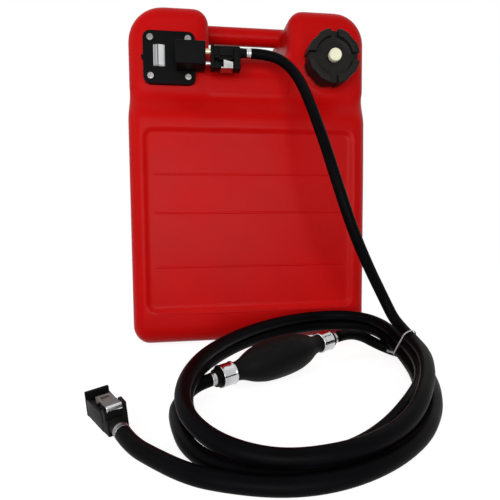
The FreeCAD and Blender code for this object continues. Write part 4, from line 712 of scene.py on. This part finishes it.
# a flat strip carried round the outline of the strands, where a leaning plane across the coil cuts them
def makeTie():
    angle, turn = math.radians(tie["angle"]), math.radians(hoseSize["turn"])
    a, b = hoseSize["long"], hoseSize["short"]
    spin = np.array([[math.cos(turn), -math.sin(turn)], [math.sin(turn), math.cos(turn)]])
    centre = np.array([hoseSize["coilX"], hoseSize["coilY"]])
    middle = centre + spin @ [a * math.cos(angle), b * math.sin(angle)]
    along = spin @ [-a * math.sin(angle), b * math.cos(angle)]
    along = along / np.linalg.norm(along)
    out = np.array([along[1], -along[0]])
    out = out * np.sign(out @ (middle - centre))
    centres = []
    for hose in (feedHose, engineHose):
        line = hoseLine(hose)
        ahead = (line[:, :2] - middle) @ along - tie["lean"] * (line[:, 2] - tie["floor"])
        for n in np.flatnonzero(ahead[:-1] * ahead[1:] < 0):
            point = line[n] + ahead[n] / (ahead[n] - ahead[n + 1]) * (line[n + 1] - line[n])
            if np.linalg.norm(point[:2] - middle) < tie["near"] and point[2] < tie["highest"]:
                centres.append([(point[:2] - middle) @ out, point[2]])
    centres = np.array(centres)
    print("strands in the tie:", np.round(centres, 1).tolist())
    # the farthest reach of all the cut strands each way, and from it and its slope the outline
    theta = np.linspace(0, 2 * math.pi, 721)[:-1]
    ways = np.stack([np.cos(theta), np.sin(theta)], -1)
    radius = hoseSize["diameter"] / 2
    reach = (centres @ ways.T).max(0) + radius + tie["clear"]
    slope = (np.roll(reach, -1) - np.roll(reach, 1)) / (2 * (theta[1] - theta[0]))
    outline = ways * reach[:, None] + np.stack([-ways[:, 1], ways[:, 0]], -1) * slope[:, None]
    outline, ways, theta = outline[::6], ways[::6], theta[::6]
    half, thick = tie["width"] / 2, tie["thick"]
    rows = []
    section = [(-half, 0), (-half + 0.3, thick), (half - 0.3, thick), (half, 0), (half - 0.3, -0.1),
               (-half + 0.3, -0.1)]
    for w, t in section:
        flatRing = outline + ways * t
        shift = w + tie["lean"] * (flatRing[:, 1:] - tie["floor"])
        rows.append(np.concatenate([middle + flatRing[:, :1] * out + along * shift, flatRing[:, 1:]], -1))
    loop = np.stack(rows, 1).reshape(-1, 3), gridFaces(len(outline), len(rows), closeRows=True)
    knotAt = outline[np.argmin(np.abs(theta - math.radians(tie["knotAngle"])))]
    level = middle + knotAt[0] * out + along * tie["lean"] * (knotAt[1] - tie["floor"])
    start = np.array([*level, knotAt[1]])
    rise = np.array([*(-out * 0.8 + along * 0.2), 0.25])
    rise = rise / np.linalg.norm(rise)
    sideways = np.cross(rise, [0, 0, 1])
    sideways = sideways / np.linalg.norm(sideways)
    forward = np.cross(sideways, rise)
    t = np.linspace(0, 1, tie["endSteps"])[:, None]
    around = np.linspace(0, 2 * math.pi, 8, endpoint=False)
    forms = [loop]
    for phase in (0, math.pi):  # two ends wound round each other
        wind = phase + tie["knotHalfTurns"] * math.pi * t
        normal = sideways * np.cos(wind) + forward * np.sin(wind)
        core = start + rise * tie["knotLength"] * t + normal * (0.8 + 1.6 * easeStep(t, 0.72, 1))
        other = np.cross(rise, normal)
        tube = core[:, None] + normal[:, None] * (0.4 * np.cos(around))[:, None]
        forms.append(closeStack(tube + other[:, None] * (0.9 * np.sin(around))[:, None]))
    finishMesh("tie_loop", *joinForms(forms), "twist_tie", "tie_plastic")


makeTie()

# an empty shader group with float sockets of these names
def newGroup(name, inputs, outputs):
    tree = bpy.data.node_groups.new(name, "ShaderNodeTree")
    for label, value in inputs:
        socket = tree.interface.new_socket(label, in_out="INPUT", socket_type="NodeSocketFloat")
        socket.default_value = value
    for label in outputs:
        tree.interface.new_socket(label, in_out="OUTPUT", socket_type="NodeSocketFloat")
    return tree, tree.nodes.new("NodeGroupInput"), tree.nodes.new("NodeGroupOutput")


# a number or a colour goes on the socket, and an output is linked to it
def feed(tree, value, socket):
    if isinstance(value, (int, float)):
        socket.default_value = value
    elif isinstance(value, tuple):
        socket.default_value = (*value, 1)
    else:
        tree.links.new(value, socket)


def mathNode(tree, operation, a, b=None, clamp=False):
    node = tree.nodes.new("ShaderNodeMath")
    node.operation = operation
    node.use_clamp = clamp
    feed(tree, a, node.inputs[0])
    if b is not None:
        feed(tree, b, node.inputs[1])
    return node.outputs[0]


# how far the value lies above low, times gain, kept between 0 and 1
def above(tree, value, low, gain):
    return mathNode(tree, "MULTIPLY", mathNode(tree, "SUBTRACT", value, low), gain, clamp=True)


# object coordinates, stretched and turned where asked
def objectPlace(tree, stretch=None, turn=(0, 0, 0)):
    place = tree.nodes.new("ShaderNodeTexCoord").outputs["Object"]
    if stretch is None:
        return place
    mapping = tree.nodes.new("ShaderNodeMapping")
    mapping.inputs["Scale"].default_value = stretch
    mapping.inputs["Rotation"].default_value = turn
    tree.links.new(place, mapping.inputs["Vector"])
    return mapping.outputs["Vector"]


def noiseNode(tree, place, **values):
    noise = tree.nodes.new("ShaderNodeTexNoise")
    tree.links.new(place, noise.inputs["Vector"])
    for label, value in values.items():
        feed(tree, value, noise.inputs[label])
    return noise.outputs["Fac"]


# fine moulded grain and a slow change of tone, from noise on object coordinates
def buildGrain():
    inputs = [("Grain Scale", 900.0), ("Tone Scale", 14.0)]
    tree, come, go = newGroup("mouldedGrain", inputs, ["Grain", "Tone"])
    place = objectPlace(tree)
    tree.links.new(noiseNode(tree, place, Scale=come.outputs["Grain Scale"], Detail=3), go.inputs["Grain"])
    tree.links.new(noiseNode(tree, place, Scale=come.outputs["Tone Scale"], Detail=4), go.inputs["Tone"])
    return tree


# thin scratches and rubbed patches: stretched noise cut to its peaks, kept to some patches
def buildScuffs():
    tree, come, go = newGroup("scuffs", [("Scale", 60.0), ("Amount", 0.5)], ["Mask"])
    stretched = objectPlace(tree, (1.0, 1.0, 7.0), (0.3, 0.9, 0.4))
    lines = noiseNode(tree, stretched, Scale=come.outputs["Scale"], Detail=6, Roughness=0.7)
    patches = noiseNode(tree, objectPlace(tree), Scale=9)
    marks = mathNode(tree, "MULTIPLY", above(tree, lines, 0.6, 9.0), above(tree, patches, 0.45, 5.0))
    tree.links.new(mathNode(tree, "MULTIPLY", marks, come.outputs["Amount"]), go.inputs["Mask"])
    return tree


# dust that lies on surfaces facing up, broken by noise
def buildDust():
    tree, come, go = newGroup("dust", [("Amount", 0.3)], ["Mask"])
    split = tree.nodes.new("ShaderNodeSeparateXYZ")
    tree.links.new(tree.nodes.new("ShaderNodeNewGeometry").outputs["Normal"], split.inputs[0])
    noise = noiseNode(tree, objectPlace(tree), Scale=130, Detail=5)
    lying = mathNode(tree, "MULTIPLY", above(tree, split.outputs["Z"], 0.35, 1.6), noise)
    tree.links.new(mathNode(tree, "MULTIPLY", lying, come.outputs["Amount"]), go.inputs["Mask"])
    return tree


groups = {"grain": buildGrain(), "scuffs": buildScuffs(), "dust": buildDust()}


def newMaterial(name):
    material = bpy.data.materials.new(name)
    material.use_nodes = True
    return material, material.node_tree, material.node_tree.nodes["Principled BSDF"]


def placeGroup(tree, key, **values):
    node = tree.nodes.new("ShaderNodeGroup")
    node.node_tree = groups[key]
    for label, value in values.items():
        node.inputs[label.replace("_", " ")].default_value = value
    return node


def mixColour(tree, factor, a, b):
    node = tree.nodes.new("ShaderNodeMix")
    node.data_type = "RGBA"
    tree.links.new(factor, node.inputs["Factor"])
    feed(tree, a, node.inputs[6])  # the two colour sockets
    feed(tree, b, node.inputs[7])
    return node.outputs[2]


# a value read evenly from one range to another, given as (from low, from high, to low, to high)
def rangeNode(tree, value, *limits):
    node = tree.nodes.new("ShaderNodeMapRange")
    tree.links.new(value, node.inputs["Value"])
    for label, number in zip(("From Min", "From Max", "To Min", "To Max"), limits):
        node.inputs[label].default_value = number
    return node.outputs["Result"]


# the three object coordinates, each as a value
def coordinates(tree):
    split = tree.nodes.new("ShaderNodeSeparateXYZ")
    tree.links.new(objectPlace(tree), split.inputs[0])
    return [split.outputs[n] for n in range(3)]


# how far the value lies from a level
def distanceTo(tree, value, level):
    return mathNode(tree, "ABSOLUTE", mathNode(tree, "SUBTRACT", value, level))


# base colour: two tones mixed by the slow noise, with each (mask, colour) laid over them in turn
def layColours(tree, shader, tone, dark, light, *layers):
    colour = mixColour(tree, rangeNode(tree, tone, 0.3, 0.7, 0, 1), dark, light)
    for mask, over in layers:
        colour = mixColour(tree, mask, colour, over)
    tree.links.new(colour, shader.inputs["Base Color"])


def bumpFrom(tree, shader, height, strength, distance):
    bump = tree.nodes.new("ShaderNodeBump")
    bump.inputs["Strength"].default_value = strength
    bump.inputs["Distance"].default_value = distance
    tree.links.new(height, bump.inputs["Height"])
    tree.links.new(bump.outputs["Normal"], shader.inputs["Normal"])


dustColour = (0.30, 0.29, 0.27)
# (dark, light) base tones, (low, high) roughness, gloss, grain scale, bump, worn tone, scuffs, dust
finishes = {
    "black_plastic": (
        (0.002, 0.0018, 0.002), (0.004, 0.0036, 0.004), (0.36, 0.48), 0.04, 1500, 0.12, 0.02, 0.4, 0.01),
    "black_moulding": (
        (0.0022, 0.002, 0.002), (0.005, 0.0046, 0.0046), (0.42, 0.6), 0.05, 1900, 0.3, 0.03, 0.5, 0.02),
    "cap_plastic": (
        (0.006, 0.0055, 0.005), (0.013, 0.012, 0.011), (0.42, 0.6), 0.11, 1300, 0.3, 0.06, 0.5, 0.08),
    "hose_rubber": (
        (0.001, 0.0009, 0.0012), (0.002, 0.0017, 0.0024), (0.40, 0.52), 0.025, 1100, 0.1, 0.008, 0.3, 0.0),
    "bulb_rubber": (
        (0.002, 0.0018, 0.002), (0.0045, 0.0042, 0.0043), (0.46, 0.6), 0.06, 1500, 0.25, 0.02, 0.35, 0.02),
    "seal_rubber": (
        (0.004, 0.004, 0.004), (0.008, 0.008, 0.008), (0.6, 0.8), 0.1, 1600, 0.2, 0.03, 0.3, 0.04),
    "ivory_plastic": ((0.88, 0.86, 0.60), (0.95, 0.94, 0.72), (0.3, 0.42), 0.3, 1500, 0.1, 0.6, 0.3, 0.05),
    "white_plastic": ((0.62, 0.62, 0.6), (0.74, 0.74, 0.72), (0.35, 0.5), 0.3, 1500, 0.1, 0.5, 0.4, 0.1),
    "float_foam": ((0.05, 0.05, 0.05), (0.09, 0.09, 0.09), (0.75, 0.9), 0.2, 800, 0.6, 0.12, 0.2, 0.0),
    "tie_plastic": ((0.50, 0.49, 0.52), (0.64, 0.62, 0.66), (0.3, 0.45), 0.3, 1800, 0.2, 0.4, 0.4, 0.05),
}


# moulded plastic or rubber: two tones, grain, rubbed marks and a little dust
def plainFinish(name, dark, light, rough, gloss, grainScale, bump, worn, scuffAmount, dustAmount):
    material, tree, shader = newMaterial(name)
    grain = placeGroup(tree, "grain", Grain_Scale=grainScale, Tone_Scale=24)
    scuff = placeGroup(tree, "scuffs", Scale=70, Amount=scuffAmount).outputs["Mask"]
    dust = placeGroup(tree, "dust", Amount=dustAmount).outputs["Mask"]
    tone = grain.outputs["Tone"]
    layColours(tree, shader, tone, dark, light, (scuff, (worn, worn, worn)), (dust, dustColour))
    roughness = rangeNode(tree, tone, 0.3, 0.7, *rough)
    roughness = mathNode(tree, "ADD", roughness, mathNode(tree, "MULTIPLY", dust, 0.5), clamp=True)
    tree.links.new(roughness, shader.inputs["Roughness"])
    shader.inputs["Specular IOR Level"].default_value = gloss
    bumpFrom(tree, shader, grain.outputs["Grain"], bump, 0.0002)
    return material


# lines are the heights of the moulded lines in metres, lineHalf how far they reach each side
red = {"dark": (0.49, 0.0012, 0.0014), "light": (0.58, 0.0018, 0.0018), "scuffed": (0.55, 0.015, 0.013),
       "dusty": (0.6, 0.30, 0.28), "rough": (0.34, 0.48), "gloss": 0.08, "depth": 0.05, "depthScale": 0.004,
       "lines": (0.2475, 0.1925, 0.1145, 0.0475), "lineHalf": 0.138, "lineEdge": (0.0006, 0.0016),
       "broadFrom": (0.084, 0.087)}


# blow-moulded red plastic: satin skin, soft mottling, moulded lines across the broad faces
def redPlastic():
    material, tree, shader = newMaterial("red_plastic")
    grain = placeGroup(tree, "grain", Grain_Scale=700, Tone_Scale=9)
    scuff = placeGroup(tree, "scuffs", Scale=38, Amount=0.3).outputs["Mask"]
    dust = placeGroup(tree, "dust", Amount=0.06).outputs["Mask"]
    tone = grain.outputs["Tone"]
    layColours(tree, shader, tone, red["dark"], red["light"], (scuff, red["scuffed"]), (dust, red["dusty"]))
    rough = rangeNode(tree, tone, 0.25, 0.75, *red["rough"])
    rough = mathNode(tree, "ADD", rough, mathNode(tree, "MULTIPLY", scuff, 0.25), clamp=True)
    tree.links.new(rough, shader.inputs["Roughness"])
    shader.inputs["Specular IOR Level"].default_value = red["gloss"]
    shader.inputs["Subsurface Weight"].default_value = red["depth"]
    shader.inputs["Subsurface Scale"].default_value = red["depthScale"]
    x, y, z = coordinates(tree)
    lines = None
    for height in red["lines"]:
        peak = rangeNode(tree, distanceTo(tree, z, height), *red["lineEdge"], 1, 0)
        lines = peak if lines is None else mathNode(tree, "MAXIMUM", lines, peak)
    reach = red["lineHalf"]
    inside = rangeNode(tree, mathNode(tree, "ABSOLUTE", x), reach - 0.002, reach + 0.002, 1, 0)
    broad = rangeNode(tree, mathNode(tree, "ABSOLUTE", y), *red["broadFrom"], 0, 1)
    lines = mathNode(tree, "MULTIPLY", mathNode(tree, "MULTIPLY", lines, inside), broad)
    height = mathNode(tree, "ADD", mathNode(tree, "MULTIPLY", grain.outputs["Grain"], 0.06),
                      mathNode(tree, "MULTIPLY", tone, 0.5))
    bumpFrom(tree, shader, mathNode(tree, "ADD", height, lines), 0.7, 0.0008)
    return material


# (dark, light) tones, (low, high) roughness, streak scale and dulled tone
metals = {
    "stainless": ((0.34, 0.335, 0.33), (0.50, 0.495, 0.49), (0.18, 0.36), (1, 1, 6), (0.22, 0.21, 0.2)),
    "polished": ((0.44, 0.44, 0.45), (0.60, 0.60, 0.61), (0.06, 0.16), (1, 1, 6), (0.3, 0.3, 0.3)),
    "latch_steel": ((0.045, 0.032, 0.028), (0.085, 0.063, 0.056), (0.3, 0.48), (4, 1, 1), (0.26, 0.23, 0.21)),
    "dull_steel": ((0.14, 0.14, 0.14), (0.26, 0.26, 0.255), (0.3, 0.46), (1, 1, 6), (0.10, 0.10, 0.10)),
    "brass": ((0.46, 0.38, 0.24), (0.62, 0.54, 0.38), (0.2, 0.36), (1, 6, 1), (0.3, 0.22, 0.12)),
}


# bright metal with fine tool marks and slightly dulled patches
def metal(name, dark, light, rough, streak, dulled):
    material, tree, shader = newMaterial(name)
    tone = placeGroup(tree, "grain", Grain_Scale=260, Tone_Scale=60).outputs["Tone"]
    scuff = placeGroup(tree, "scuffs", Scale=220, Amount=0.7).outputs["Mask"]
    layColours(tree, shader, tone, dark, light, (scuff, dulled))
    shader.inputs["Metallic"].default_value = 1
    marks = noiseNode(tree, objectPlace(tree, streak), Scale=900, Detail=2)
    tree.links.new(rangeNode(tree, marks, 0.3, 0.7, *rough), shader.inputs["Roughness"])
    bumpFrom(tree, shader, marks, 0.08, 0.0001)
    return material


# places in metres along X
lensLook = {"middle": -0.128, "line": -0.1295, "lineHalf": 0.0006, "edge": 0.0064, "tint": (0.80, 0.81, 0.82),
            "shade": (0.30, 0.31, 0.32), "frame": (0.62, 0.63, 0.64), "pointer": (0.02, 0.02, 0.02)}


# the gauge lens: clear plastic over a pale back, with an edge all round, a shaded left side and a dark
# indicator line, each a range of the distance across
def clearPlastic():
    material, tree, shader = newMaterial("clear_plastic")
    grain = placeGroup(tree, "grain", Grain_Scale=120, Tone_Scale=40)
    x = coordinates(tree)[0]
    middle, edge, half = lensLook["middle"], lensLook["edge"], lensLook["lineHalf"]
    frameMask = rangeNode(tree, distanceTo(tree, x, middle), edge, edge + 0.0004, 0, 1)
    leftShade = rangeNode(tree, x, middle - 0.006, middle + 0.001, 1, 0)
    line = rangeNode(tree, distanceTo(tree, x, lensLook["line"]), half * 0.6, half * 1.4, 1, 0)
    colour = mixColour(tree, leftShade, lensLook["tint"], lensLook["shade"])
    colour = mixColour(tree, frameMask, colour, lensLook["frame"])
    colour = mixColour(tree, line, colour, lensLook["pointer"])
    tree.links.new(colour, shader.inputs["Base Color"])
    shader.inputs["Transmission Weight"].default_value = 0.15
    shader.inputs["IOR"].default_value = 1.49
    tree.links.new(rangeNode(tree, grain.outputs["Tone"], 0.3, 0.7, 0.04, 0.12), shader.inputs["Roughness"])
    bumpFrom(tree, shader, grain.outputs["Grain"], 0.05, 0.0002)
    return material


materials = {name: plainFinish(name, *spec) for name, spec in finishes.items()}
materials.update({name: metal(name, *spec) for name, spec in metals.items()})
materials["red_plastic"] = redPlastic()
materials["clear_plastic"] = clearPlastic()


def paint(piece, key):
    piece.data.materials.clear()
    piece.data.materials.append(materials[key])


for entry in frame["record"]["subparts"]:
    if entry["node"] in frame["nodes"]:
        paint(frame["nodes"][entry["node"]], entry["material_slot"])
# pieces whose finish isn't that of their slot
ownFinish = {"cap_body": "cap_plastic", "bulb_skin": "bulb_rubber", "engine_latch_plate": "latch_steel",
             "ferrules": "polished", "plate_screws_soft": "dull_steel", "engine_crimp_ring": "dull_steel"}
for item in list(scene.objects):
    if item.type in ("MESH", "CURVE") and "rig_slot" in item:
        paint(item, ownFinish.get(item.name, item["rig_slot"]))
shape = engineLatch.data
shape.materials.append(materials["polished"])  # the lip is rubbed bright
centre = np.zeros(len(shape.polygons) * 3)
shape.polygons.foreach_get("center", centre)
local = np.array(engineFrame.inverted())
along = centre.reshape(-1, 3) / mm @ local[0, :3] + local[0, 3]
shape.polygons.foreach_set("material_index", (along > latch["start"] + latch["length"] - 0.5).astype(int))
print("materials placed")

light = {"worldDiffuse": 0.30, "floorGlow": 0.86, "floorColour": 0.48, "floorReach": 6.0}
# place, what it faces, (width, height) and power
lamps = {
    "front": ((-0.25, -1.6, 0.1), (0, 0, 0.05), (1.4, 1.0), 26.0),
    "left": ((-1.4, -0.5, 0.7), (0, 0, 0.2), (0.6, 1.0), 2.5),
    "top": ((0.1, -0.35, 1.5), (0.0, -0.1, 0.1), (1.3, 0.9), 1.0),
}


# 1 for camera, mirror and glass rays
def isSeen(tree):
    path = tree.nodes.new("ShaderNodeLightPath")
    first = mathNode(tree, "MAXIMUM", path.outputs["Is Camera Ray"], path.outputs["Is Glossy Ray"])
    return mathNode(tree, "MAXIMUM", first, path.outputs["Is Transmission Ray"])


# white to the camera, and a dimmer plain light on the object
def makeWorld():
    world = bpy.data.worlds.new("studio")
    scene.world = world
    world.use_nodes = True
    tree = world.node_tree
    background = tree.nodes["Background"]
    background.inputs["Color"].default_value = (1, 1, 1, 1)
    strength = rangeNode(tree, isSeen(tree), 0, 1, light["worldDiffuse"], 1)
    tree.links.new(strength, background.inputs["Strength"])


# a plain square that also glows a little to the camera, so that it meets the white world
def makeFloor():
    data = bpy.data.meshes.new("floor")
    reach = light["floorReach"]
    data.from_pydata([(-reach, -reach, 0), (reach, -reach, 0), (reach, reach, 0), (-reach, reach, 0)], [],
                     [(0, 1, 2, 3)])
    floor = addObject("floor", data)
    material, tree, shader = newMaterial("studio_floor")
    value = light["floorColour"]
    shader.inputs["Base Color"].default_value = (value, value, value, 1)
    shader.inputs["Roughness"].default_value = 0.9
    shader.inputs["Specular IOR Level"].default_value = 0
    shader.inputs["Emission Color"].default_value = (1, 1, 1, 1)
    glow = rangeNode(tree, isSeen(tree), 0, 1, 0, light["floorGlow"])
    tree.links.new(glow, shader.inputs["Emission Strength"])
    floor.data.materials.append(material)


def areaLamp(name, place, target, size, power):
    data = bpy.data.lights.new(name, "AREA")
    data.shape = "RECTANGLE"
    data.size, data.size_y = size
    data.energy = power
    lamp = addObject(name, data)
    lamp.location = place
    lamp.rotation_euler = (Vector(target) - Vector(place)).to_track_quat("-Z", "Y").to_euler()


makeWorld()
makeFloor()
for name, spec in lamps.items():
    areaLamp(name, *spec)
scene.view_settings.view_transform = "Standard"
print("stage set")
